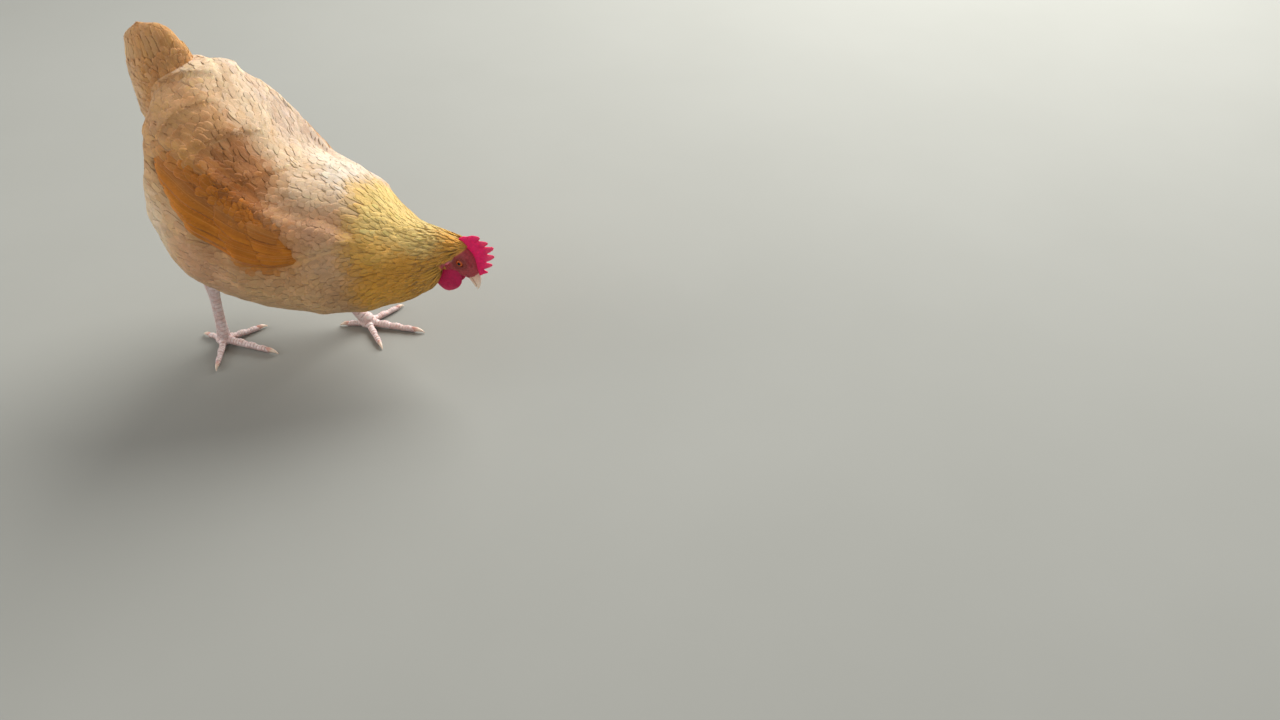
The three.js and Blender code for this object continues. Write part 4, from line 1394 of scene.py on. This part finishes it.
NOSTRIL = ((25.5, 5.9, 2.4), (2.6, 1.3, 0.85))  # on each side: x, y, z, and radii
NOSTRIL_LID = ((25.3, 4.7, 3.4), (3.2, 1.4, 1.0))
NOSTRIL_TILT = 0.3


def bill_half(rows, upper):
    """Half of the bill: domed outside, and flat with a thin lip at the mouth."""

    def sections(t):
        x, top, bottom, half = np.moveaxis(spline(rows, t), -1, 0)
        middle = bottom + LIP * (top - bottom) if upper else top - LIP * (top - bottom)
        return xyz(x, 0, middle), xyz(0, half, 0), xyz(0, 0, top - middle), xyz(0, 0, bottom - middle)

    return Loft(sections)


def bill(name, rows, node):
    upper = node == "bill_upper"
    made = skin_of(bill_half(rows, upper), 90, 64, place=from_head, name=name)
    if upper:
        for side in SIDES.values():
            cut(made, on_head(side, *NOSTRIL, NOSTRIL_TILT))
        for side in SIDES.values():
            cut(made, on_head(side, *NOSTRIL_LID, NOSTRIL_TILT), "UNION")
    local = to_head(coordinates(made))
    colour = blend(BILL_PINK, BILL_TIP, smooth(local[:, 0], 24, 40))
    ridge = smooth(local[:, 2] + (local[:, 0] - 16) * 0.35, 6, 10)
    paint(made, blend(colour, BILL_PINK * 0.8, 0.4 * ridge))
    return finished(made, HORN, "horn", node)


bill("bill_top", BILL_TOP, "bill_upper")
bill("bill_under", BILL_LOW, "bill_lower")

IRIS = linear("c4581a")
IRIS_RIM = linear("6a2408")
PUPIL = np.array([0.003, 0.003, 0.004])


def eyeball(name, side):
    """A glass eye that looks to its side and a little ahead."""
    centre = EYE_SPOT * [1, side, 1]
    quarter = np.array(Matrix.Rotation(-side * math.pi / 2, 3, "X"))
    made = ball(centre, [EYE_RADIUS] * 3, from_head, quarter, f"eyeball_{name}", 96)
    local = (to_head(coordinates(made)) - centre) / EYE_RADIUS
    facing = local @ np.array(Matrix.Rotation(side * 0.12, 3, "Z"))
    off = np.degrees(np.arccos(np.clip(facing[:, 1] * side, -1, 1)))
    spin = np.arctan2(local[:, 2], local[:, 0])
    rays = 0.12 * np.sin(spin * 37) + 0.08 * np.sin(spin * 61 + 1)
    iris = blend(IRIS_RIM, IRIS, smooth(off, 20, 30) * (1 - 0.7 * smooth(off, 44, 52)))
    iris = iris * (1 + rays * smooth(off, 22, 34))[:, None]
    paint(made, blend(iris, PUPIL, 1 - smooth(off, 20.5, 22)))
    return finished(made, GLASS, "eye", f"eye_{name}")


both_sides(eyeball)

# ------------------------------------------------------------------ legs

SCALE_PALE = linear("dccbc8")
SCALE_PINK = linear("c9978a")
CLAW_TINT = linear("e2cdb8")
TOES = {  # length, radius at the root and at the tip, and how far the claw reaches
    "middle": (62, 5.6, 3.4, 14),
    "inner": (44, 5.0, 3.1, 12),
    "outer": (46, 4.8, 3.0, 11),
    "hind": (25, 4.4, 3.0, 11),
}
SHANK = [(0, 7.6), (0.1, 8.6), (0.2, 8.0), (0.35, 6.2), (0.6, 5.9), (0.8, 6.2), (0.92, 7.4), (1, 8.0)]
CLAW = [  # how far along its reach, radius and height, both against the toe's tip
    (-0.16, 0.82, 1.2),
    (0.1, 0.86, 1.25),
    (0.35, 0.76, 1.24),
    (0.6, 0.56, 1.04),
    (0.82, 0.34, 0.68),
    (1, 0.08, 0.16),
]
CLAW_SLIM = 0.95
PALM_PADS = [(-2.2, (10.6, 10.4, 7.4)), (3, (8.2, 8.4, 8.2))]  # height against the palm, and radii
PAD = 15  # about how long each pad under a toe is
WAIST = 0.86  # how thick a toe is between two pads, as a share
KNUCKLE, TOE_SLOPE = 0.5, 1.2  # how much higher each pad's top, and the toe's root, are
TOE_FLAT = 0.98
SHANK_SCUTES, REAR_SCUTES = 17, 1.6  # along the shank, and how many more there are behind
PAST_HOCK = 0.08  # how far past the hock the shank reaches up into the thigh, as a share of it
SCUTE = 3.9  # how long a scute on a toe is
SHANK_RELIEF, REAR_RELIEF, TOE_RELIEF = 0.7, 0.3, 0.55  # how high the plates stand
SOLE = 1.2  # what lies lower is pressed flat by the ground


def plates(s, count, soft=0.16):
    """A row of overlapping plates: each rises slowly and drops at its end."""
    part = (s * count) % 1
    return part * (1 - smooth(part, 1 - soft, 1))


class Bone:
    """A shank or toe as a straight line, with rows of scutes on the side that faces ahead or up."""

    def __init__(self, start, end, count, face):
        self.start, self.count = start, count
        self.length = np.linalg.norm(end - start)
        self.way = (end - start) / self.length
        self.face = unit(face - self.way * (face @ self.way))
        self.across = np.cross(self.way, self.face)

    def scutes(self, points, out, two_rows):
        """How many scutes along it points are, and how much they are on the scutes."""
        s = (points - self.start) @ self.way / self.length * self.count
        front, side = out @ self.face, out @ self.across
        seam = np.zeros_like(s)
        if two_rows:
            s = s + 0.5 * (side > 0)
            seam = np.exp(-((side + 0.08) / 0.1) ** 2) * (front > 0)
        return s, smooth(front, 0.0, 0.3) * (1 - seam)

    def apart(self, points):
        """How far off the line points are."""
        s = np.clip((points - self.start) @ self.way, 0, self.length)
        return np.linalg.norm(points - self.start - s[..., None] * self.way, axis=-1)


def shank_bone(leg):
    hock, palm = leg_point(leg, "hock"), leg_point(leg, "palm")
    return Bone(hock + (hock - palm) * PAST_HOCK, palm, SHANK_SCUTES, np.array([1.0, 0, 0]))


def toe_way(leg, name):
    turn = math.radians(leg["toes"][name])
    return np.array([math.cos(turn), math.sin(turn), 0])


def toe_bone(leg, name):
    length = TOES[name][0]
    start = leg_point(leg, "palm") * [1, 1, 0]
    end = start + toe_way(leg, name) * (length + 1)
    return Bone(start, end, round(length / SCUTE), np.array([0, 0, 1.0]))


def shank_form(leg):
    bone = shank_bone(leg)
    points = [bone.start + bone.way * bone.length * s for s, _ in SHANK]
    loft = rod_loft(points, [r for _, r in SHANK], flat=1.05, up=(1, 0, 0))

    def lift(t, a, points):
        out = loft.frame(t, a)[-1]
        s, share = bone.scutes(points, out, True)
        rear = smooth(-(out @ bone.face), 0.1, 0.5)
        return SHANK_RELIEF * plates(s, 1) * share + REAR_RELIEF * plates(s, REAR_SCUTES) * rear

    return skin_of(loft, 300, 72, lift)


def toe_form(leg, name):
    """A toe with a knuckle between each two pads."""
    length, root, tip, _ = TOES[name]
    bone = toe_bone(leg, name)
    points, radii = [], []
    for i, s in enumerate(np.linspace(0, 1, round(length / PAD) * 2 + 1)):
        on_pad = i % 2
        r = (root + (tip - root) * s) * (1.0 if on_pad else WAIST)
        high = r * TOE_FLAT + (1 - s) * TOE_SLOPE + KNUCKLE * on_pad
        points.append(bone.start + bone.way * bone.length * s + [0, 0, high])
        radii.append(r)
    loft = rod_loft(points, radii, flat=TOE_FLAT)

    def lift(t, a, points):
        s, share = bone.scutes(points, loft.frame(t, a)[-1], False)
        return TOE_RELIEF * plates(s, 1) * share

    return skin_of(loft, 180, 48, lift)


def scute_marks(made, leg):
    """Stores at each point the scutes along it, how much it is on them, and which bone it is."""
    points, out = coordinates(made), normals_of(made)
    bones = [shank_bone(leg)] + [toe_bone(leg, name) for name in TOES]
    low = points * [1, 1, 0.5] + [0, 0, -0.5]
    apart = [bone.apart(points if i == 0 else low) for i, bone in enumerate(bones)]
    nearest = np.argmin(apart, axis=0)
    marks = np.zeros((len(points), 3))
    for i, bone in enumerate(bones):
        s, share = bone.scutes(points, out, i == 0)
        mine = nearest == i
        marks[mine] = xyz(s, share, i)[mine]
    store(made, "Scute", "FLOAT_VECTOR", "vector", marks)


def foot(name, leg):
    """Shank, palm and toes as one scaly skin, flat where it stands."""
    palm = leg_point(leg, "palm")
    pieces = [shank_form(leg), *(toe_form(leg, toe) for toe in TOES)]
    pieces += [ball(palm + [0, 0, high], radii) for high, radii in PALM_PADS]
    made = melted(f"foot_{name}", pieces, FOOT_GRAIN, 1)
    points = coordinates(made)
    height = points[:, 2]
    points[:, 2] = np.where(height < SOLE, np.maximum(height, 0.0) * 0.6 + 0.02, height)
    move_to(made, points)
    low = (1 - smooth(points[:, 2], 0.5, 5)) * smooth(-normals_of(made)[:, 2], 0, 0.5)
    blush = smooth(Ripple(9, 31).at(points), -0.4, 0.6)
    paint(made, blend(SCALE_PALE, SCALE_PINK, 0.35 * blush + 0.35 * low))
    scute_marks(made, leg)
    nodes = [f"shank_{name}", f"palm_{name}", *(f"toe_{name}_{toe}" for toe in TOES)]
    return finished(made, SCALES, "leg_skin", *nodes)


def claw(name, leg, toe):
    length, _, tip, reach = TOES[toe]
    way = toe_way(leg, toe)
    base = leg_point(leg, "palm") * [1, 1, 0]
    points = [base + way * (length + s * reach) + np.array([0, 0, high * tip]) for s, _, high in CLAW]
    loft = rod_loft(points, [r * tip * CLAW_SLIM for _, r, _ in CLAW], flat=1.15)
    made = skin_of(loft, 30, 24, name=f"nail_{name}_{toe}")
    along = (coordinates(made) - base) @ way
    paint(made, blend(SCALE_PINK, CLAW_TINT, smooth(along, length, length + reach * 0.6)))
    return finished(made, HORN, "horn", f"claw_{name}_{toe}")


for leg_name, leg_sizes in LEGS.items():
    foot(leg_name, leg_sizes)
    for toe_name in TOES:
        claw(leg_name, leg_sizes, toe_name)

# ------------------------------------------------------------------ the body's coat

DRAPE = 0.16  # how far feathers hang down from the line to the tail


def body_way(t, a, drape, draw, vary):
    """The lie of the feathers: to the tail, a little down, and not quite even."""
    _, along, around, out = BODY.frame(t, a)
    down = np.array([0, 0, -1.0]) + out * out[..., 2:3]
    stray = unit(around) * draw.normal(0, 1, t.shape)[..., None] * vary
    return unit(-unit(along) + drape[..., None] * down + stray)


def clear_of_face(point):
    """True where feathers root: behind the bare face, and beside the comb."""
    local = to_head(point)
    x, aside, z = local[..., 0], np.abs(local[..., 1]), local[..., 2]
    border = face_border(z) - 0.5 + 0.8 * np.sin(z * 0.9)
    on_face = (np.linalg.norm(local, axis=-1) < FACE_REACH) & (x > border) & (z > FACE_LOW)
    under_comb = (z > COMB_FOOT["low"]) & (aside < COMB_FOOT["half"]) & (x > COMB_FOOT["rear"])
    return ~on_face & ~under_comb


FLUFF_A, FLUFF_T = (88, 112), (0.36, 0.5)  # degrees over which fluff begins, and t over which it ends
VENT_A, VENT_T, VENT_SOFT = (60, 85), (0.0, 0.08), 0.7  # the same round the vent, and how soft it is
FLUFF_DENSER = 0.14  # how much closer fluff roots


def softness(t, degrees):
    """Where the coat is loose fluff: low on the sides of the rear, and round the vent."""
    low = smooth(degrees, *FLUFF_A) * (1 - smooth(t, *FLUFF_T))
    vent = VENT_SOFT * (1 - smooth(t, *VENT_T)) * smooth(degrees, *VENT_A)
    return np.clip(low + vent, 0, 1)


def body_spacing(t, a):
    return measure(SPACING, t, a) * (1 - FLUFF_DENSER * softness(t, turned(a)))


COAT_REGIONS = {  # t from, t to, angle from, angle to
    "coat_saddle": (0.0, 0.36, 0, 78),
    "coat_cape": (0.36, 0.66, 0, 90),
    "coat_side": (0.36, 0.66, 90, 128),
    "coat_breast": (0.36, 0.66, 128, 181),
    "coat_vent": (0.0, 0.2, 78, 181),
    "coat_flank": (0.2, 0.36, 78, 122),
    "coat_belly": (0.2, 0.36, 122, 181),
    "hackle_upper": (0.66, 0.86, 0, 90),
    "hackle_lower": (0.66, 0.86, 90, 181),
    "hackle_front": (0.86, 1.1, 0, 181),
}
BODY_TRIES, THIGH_TRIES, TAIL_TRIES = 400000, 40000, 60000  # places tried for feathers
FACE_REACH, FACE_LOW = 45, -26  # the bare face is within this of the head's middle, and over this
COMB_FOOT = {"low": 12, "half": 2.6, "rear": -24}  # where the comb stands, in the head's frame
NAPE_END = 1.012  # feathers root up to this t, a little past the end of the body's form
WING_EDGE_AT, WING_UNDER = 12, 1.2  # down to this angle the coat lies over the wing, then under it
WING_SHORTER, WING_NARROWER, FLUFF_NARROWER = 0.3, 0.2, 0.25  # how much its feathers there are
COAT_VARY = 0.06  # how much one feather's shade differs from the next one's
QUILLS_T, QUILLS_A = 0.42, 7  # the quills cover the wing behind this t, and this far below its top
TAIL_ROOT = {"t": 0.05, "low": 262, "half": 18}  # where the tail covers the body


def feathered(t, a, point):
    """True where the body's own feathers root: off the face, the wing's quills and the tail."""
    under_wing = (wing_share(t, a, 1.0) > 0.3) & (t < QUILLS_T) & (past_wing_top(t, a) > QUILLS_A)
    in_middle = (point[..., 2] > TAIL_ROOT["low"]) & (np.abs(point[..., 1]) < TAIL_ROOT["half"])
    under_tail = (t < TAIL_ROOT["t"]) & in_middle
    return clear_of_face(point) & ~under_wing & ~under_tail


def dress_body():
    """The coat of body and neck, region by region: firm feathers, and fluff where it is soft."""
    draw = np.random.default_rng(7)
    t, a = scattered(BODY, BODY_TRIES, body_spacing, feathered, 17, (0, NAPE_END))
    degrees, past_top = turned(a), past_wing_top(t, a)
    on_wing, soft = wing_share(t, a, 1.0), softness(t, degrees)
    length = measure(LENGTH, t, a) * (1 - WING_SHORTER * on_wing) * draw.normal(1, 0.09, len(t))
    width = measure(WIDTH, t, a) * (1 - WING_NARROWER * on_wing) * (1 - FLUFF_NARROWER * soft)
    width = width * draw.normal(1, 0.08, len(t))
    over, under = past_top < WING_EDGE_AT, past_top > WING_EDGE_AT
    over_wing = between(t, 0.2, 0.28, 0.5, 0.6) * (smooth(past_top, -14, -2) * over - WING_UNDER * under)
    tint = body_tint(t - 0.8 * length / T_LENGTH, a)
    drape = DRAPE + 0.12 * smooth(degrees, 20, 60) - 0.1 * smooth(degrees, 100, 150)
    way = body_way(t, a, drape + 0.25 * soft, draw, 0.07 + 0.1 * soft[:, None])
    measures = (t, a, way, length, width, -body_depth(t, a))
    for name, (low, high, first, last) in COAT_REGIONS.items():
        mine = (t >= low) & (t < high) & (degrees >= first) & (degrees < last)
        on_neck = name.startswith("hackle")
        plain = FINE if name == "hackle_front" else HACKLE if on_neck else CONTOUR
        vanes = Vanes()
        for kind, some in ((plain, mine & (soft < 0.5)), (FLUFF, mine & (soft >= 0.5))):
            if not some.any():
                continue
            tip = over_wing[some] + draw.normal(0, 0.06 + 0.15 * (kind is FLUFF), some.sum())
            laid = lay(BODY, *(part[some] for part in measures), tip, coat_height, kind, draw)
            vanes.add(*laid, feather_tints(tint[some], draw, kind, COAT_VARY), t[some], a[some])
        vanes.build(name, "neck_feathers" if on_neck else "body_feathers")


dress_body()

# ------------------------------------------------------------------ thighs

THIGH_GAP, HOCK_GAP = 2.8, 1.6  # how far apart feathers root on the thigh, and near the hock
THIGH_LENGTH, HOCK_LENGTH = 24, 11
THIGH_DEPTH, HOCK_DEPTH = 2.4, 1.0  # how deep they root


def thigh_spacing(t, a):
    return THIGH_GAP - (THIGH_GAP - HOCK_GAP) * smooth(t, THIN_FROM, THIN_TO)


def dress_thigh(name, leg):
    """Loose fluff that hangs over the thigh, and gets short and thin to the hock."""
    draw = np.random.default_rng(70 + leg["side"])
    loft = thigh_loft(leg)
    t, a = scattered(loft, THIGH_TRIES, thigh_spacing, lambda t, a, point: t > 0.3, 5)
    _, along, around, _ = loft.frame(t, a)
    n = len(t)
    way = unit(unit(along) + [0, 0, -0.7] + unit(around) * draw.normal(0, 0.1, n)[:, None])
    thin = smooth(t, THIN_FROM, THIN_TO)
    length = (THIGH_LENGTH - (THIGH_LENGTH - HOCK_LENGTH) * thin) * draw.normal(1, 0.1, n)
    tip = draw.normal(0.3, 0.25, n) * (1 - 0.5 * thin)
    depth = THIGH_DEPTH - (THIGH_DEPTH - HOCK_DEPTH) * thin
    measures = (t, a, way, length, length * 0.3, -depth)
    laid = lay(loft, *measures, tip, lambda t, a, points: 0 * t, FLUFF, draw)
    base = blend(CREAM, BUFF, np.clip(draw.normal(0.35, 0.2, n), 0, 1))
    vanes = Vanes()
    vanes.add(*laid, feather_tints(base, draw, FLUFF, 0.05), t, a)
    vanes.build(f"thigh_fluff_{name}", "fluff")


for leg_name, leg_sizes in LEGS.items():
    dress_thigh(leg_name, leg_sizes)

# ------------------------------------------------------------------ wings

WING_TIERS = [  # count, root t, root angle, tip t, tip angle, bow, width, stand, upper tint
    (7, (0.40, 0.43), (58, 70), (0.168, 0.24), (54, 66), 0.0, 16, -1.2, RICH),
    (18, (0.40, 0.46), (50, 72), (0.205, 0.285), (50, 74), 0.03, 15, -0.2, DUSK),
    (18, (0.46, 0.50), (50, 70), (0.335, 0.385), (50, 75), 0.012, 14, 0.5, DUSK),
    (17, (0.50, 0.53), (50, 67), (0.40, 0.44), (50, 71), 0.008, 13, 1.0, DUSK),
]
QUILL_SLANT = 0.035  # how much each quill tilts, to lie over the next one
ROOT_SUNK, FIRST_SUNK = 4.5, 2.5  # how much lower quills have their roots, and the first ones lie


def wing(name, side):
    """Quills in tiers over the folded wing. The right wing is laid as the left, and mirrored."""
    draw = np.random.default_rng(90 + side)
    vanes = Vanes()
    rows = LONG["rows"]
    for count, root_t, root_a, tip_t, tip_a, bow, width, stand, tint in WING_TIERS:
        k = np.linspace(0, 1, count)
        t0 = np.interp(k, [0, 1], root_t)
        a0 = np.radians(np.interp(k, [0, 1], root_a))
        t1 = np.interp(k, [0, 1], tip_t) - bow * np.sin(np.pi * k) + draw.normal(0, 0.004, count)
        a1 = np.radians(np.interp(k, [0, 1], tip_a)) + draw.normal(0, 0.012, count)
        length = np.linalg.norm(BODY.at(t1, a1) - BODY.at(t0, a0), axis=1)
        wide = width * draw.normal(1, 0.04, count)

        def spot(r, across, ahead, up):
            t, a = t0 + (t1 - t0) * rows[r], a0 + (a1 - a0) * rows[r]
            _, along, around, out = BODY.frame(t, a)
            heading = unit(along * (t1 - t0)[:, None] + around * (a1 - a0)[:, None])
            aside = np.cross(heading, out)
            dt, da = steps_for(aside * across[:, None] + heading * ahead[:, None], along, around)
            point, _, _, out = BODY.frame(t + dt, a + da)
            height = coat_height(t + dt, a + da, point * [1, side, 1])
            sunk = ROOT_SUNK * (1 - smooth(rows[r], 0, 0.4)) + FIRST_SUNK * (1 - smooth(k, 0, 0.3))
            return point + out * (height + stand - sunk + QUILL_SLANT * across + up)[:, None]

        top, keel, place = vane_grid(spot, length, wide, LONG, draw)
        base = blend(tint, RICH, smooth(k, 0.05, 0.6)) * draw.normal(1, 0.05, (count, 1))
        # the left wing paler, as the right wing's deeper orange is partly painted shade
        base = blend(base, BUFF, FAR_WING * (side > 0))
        colours = feather_tints(base, draw, LONG, 0.04)
        if side > 0:
            top, colours, place = top[:, :, ::-1], colours[:, :, ::-1], place[:, :, ::-1]
        else:
            top, keel = top * [1, -1, 1], keel * [1, -1, 1]
        vanes.add(top, keel, place, colours, t0, side * a0)
    vanes.build(f"wing_feathers_{name}", "wing_feathers", f"wing_{name}")


both_sides(wing)

# ------------------------------------------------------------------ tail

COVERT_LENGTH, PLUME_LENGTH = 38, 62
TAIL_WIDTH, UNDER_NARROWER = 11, 2.5  # of its feathers, and how much less wide they are below
TAIL_DEPTH = 4.5
TAIL_PARTS = [  # t from and to, spacing, kind, piece, and the nodes that it replaces
    (0.05, 0.42, 4.0, CONTOUR, "tail_coverts"),
    (0.42, 0.9, 4.2, PLUME, "tail_feathers", "tail"),
]


def tail_height(t, a, points):
    return SMALL_LUMPS.at(points)


def tail_left(t, a):
    """How much of the tail lies beyond each place, in mm over its surface."""
    marks = np.linspace(0, 1, 90)
    here = TAIL_LOFT.at(*np.broadcast_arrays(marks, a[:, None]))
    steps = np.linalg.norm(np.diff(here, axis=1), axis=-1)
    return (steps * (marks[1:] > t[:, None])).sum(1)


def dress_tail():
    """Coverts low on the tail, and long feathers that close over its top."""
    draw = np.random.default_rng(56)
    for low, high, gap, kind, name, *nodes in TAIL_PARTS:

        def here(t, a, point):
            return (t > low) & (t < high)

        t, a = scattered(TAIL_LOFT, TAIL_TRIES, lambda t, a: gap + 0 * t, here, 9)
        _, along, around, _ = TAIL_LOFT.frame(t, a)
        n = len(t)
        way = unit(unit(along) + unit(around) * draw.normal(0, 0.05, n)[:, None])
        under = smooth(turned(a), 95, 150)
        if kind is PLUME:
            length = np.minimum(PLUME_LENGTH, tail_left(t, a) + 1) * draw.uniform(0.9, 1, n)
        else:
            length = COVERT_LENGTH * draw.normal(1, 0.08, n)
        width = (TAIL_WIDTH - UNDER_NARROWER * under) * draw.normal(1, 0.08, n)
        measures = (t, a, way, length, width, np.full(n, -TAIL_DEPTH), draw.normal(0, 0.1, n))
        laid = lay(TAIL_LOFT, *measures, tail_height, kind, draw)
        base = blend(BROWN, BUFF, np.clip(0.4 + draw.normal(0, 0.2, n), 0, 1))
        base = blend(base, CREAM, 0.6 * under * (1 - smooth(t, 0.3, 0.6)))
        vanes = Vanes()
        vanes.add(*laid, feather_tints(base, draw, kind, COAT_VARY), t, a)
        vanes.build(name, "body_feathers", *nodes)


dress_tail()

# ------------------------------------------------------------------ floor, lights, camera

VIEW = {"x": 710.4, "y": -1054.3, "z": 944.1, "down": 39.56, "heading": 14.0, "lens": 33.75}
FLOOR_RADIUS, FLOOR_GAP = 3.0, 0.0004  # in metres, like the lights
FLOOR_DARK, FLOOR_LIGHT = (0.27, 0.275, 0.25), (0.3, 0.305, 0.28)
SKY, SKY_STRENGTH = (0.99, 0.98, 1.0, 1), 0.38
LIT = Vector((0, 0, 0.2))  # the place that all lights face
LIGHTS = [  # name, place, size, power, colour
    ("key", (0.75, 1.95, 1.75), 2.4, 132, (1.0, 0.985, 0.96)),
    ("rear", (-1.8, -0.5, 0.9), 1.0, 15, (1.0, 0.98, 0.95)),
    ("fill", (0.4, -2.0, 1.0), 1.8, 11, (1.0, 0.94, 0.88)),
]


def placed(name, data):
    made = bpy.data.objects.new(name, data)
    bpy.context.scene.collection.objects.link(made)
    return made


def pale_floor(net, shader):
    net.feed(shader, "Base Color", net.mix(net.noise(3, 4), FLOOR_DARK, FLOOR_LIGHT))
    set_shader(shader, Roughness=0.9)


def floor():
    rim = FLOOR_RADIUS * xyz(np.cos(turns(128)), np.sin(turns(128)), 0)
    mesh = bpy.data.meshes.new("floor")
    mesh.from_pydata((rim - [0, 0, FLOOR_GAP]).tolist(), [], [range(len(rim))])
    mesh.materials.append(material("pale_floor", pale_floor))
    placed("floor", mesh)


def light(name, place, size, power, colour):
    data = bpy.data.lights.new(name, "AREA")
    data.shape = "DISK"
    data.size = size
    data.energy = power
    data.color = colour
    made = placed(name, data)
    made.location = place
    made.rotation_euler = (LIT - Vector(place)).to_track_quat("-Z", "Y").to_euler()


def sky():
    world = bpy.data.worlds.new("soft_sky")
    bpy.context.scene.world = world
    world.use_nodes = True
    background = world.node_tree.nodes["Background"]
    background.inputs["Color"].default_value = SKY
    background.inputs["Strength"].default_value = SKY_STRENGTH


def camera():
    data = bpy.data.cameras.new("view")
    data.lens = VIEW["lens"]
    data.sensor_width = 36
    data.clip_start = 0.01
    made = placed("view", data)
    made.location = Vector(to_frame([VIEW["x"], VIEW["y"], VIEW["z"]]))
    made.rotation_euler = (math.radians(90 - VIEW["down"]), 0, math.radians(VIEW["heading"]))
    bpy.context.scene.camera = made


floor()
sky()
for lamp in LIGHTS:
    light(*lamp)
camera()
bpy.context.scene.view_settings.view_transform = "Standard"
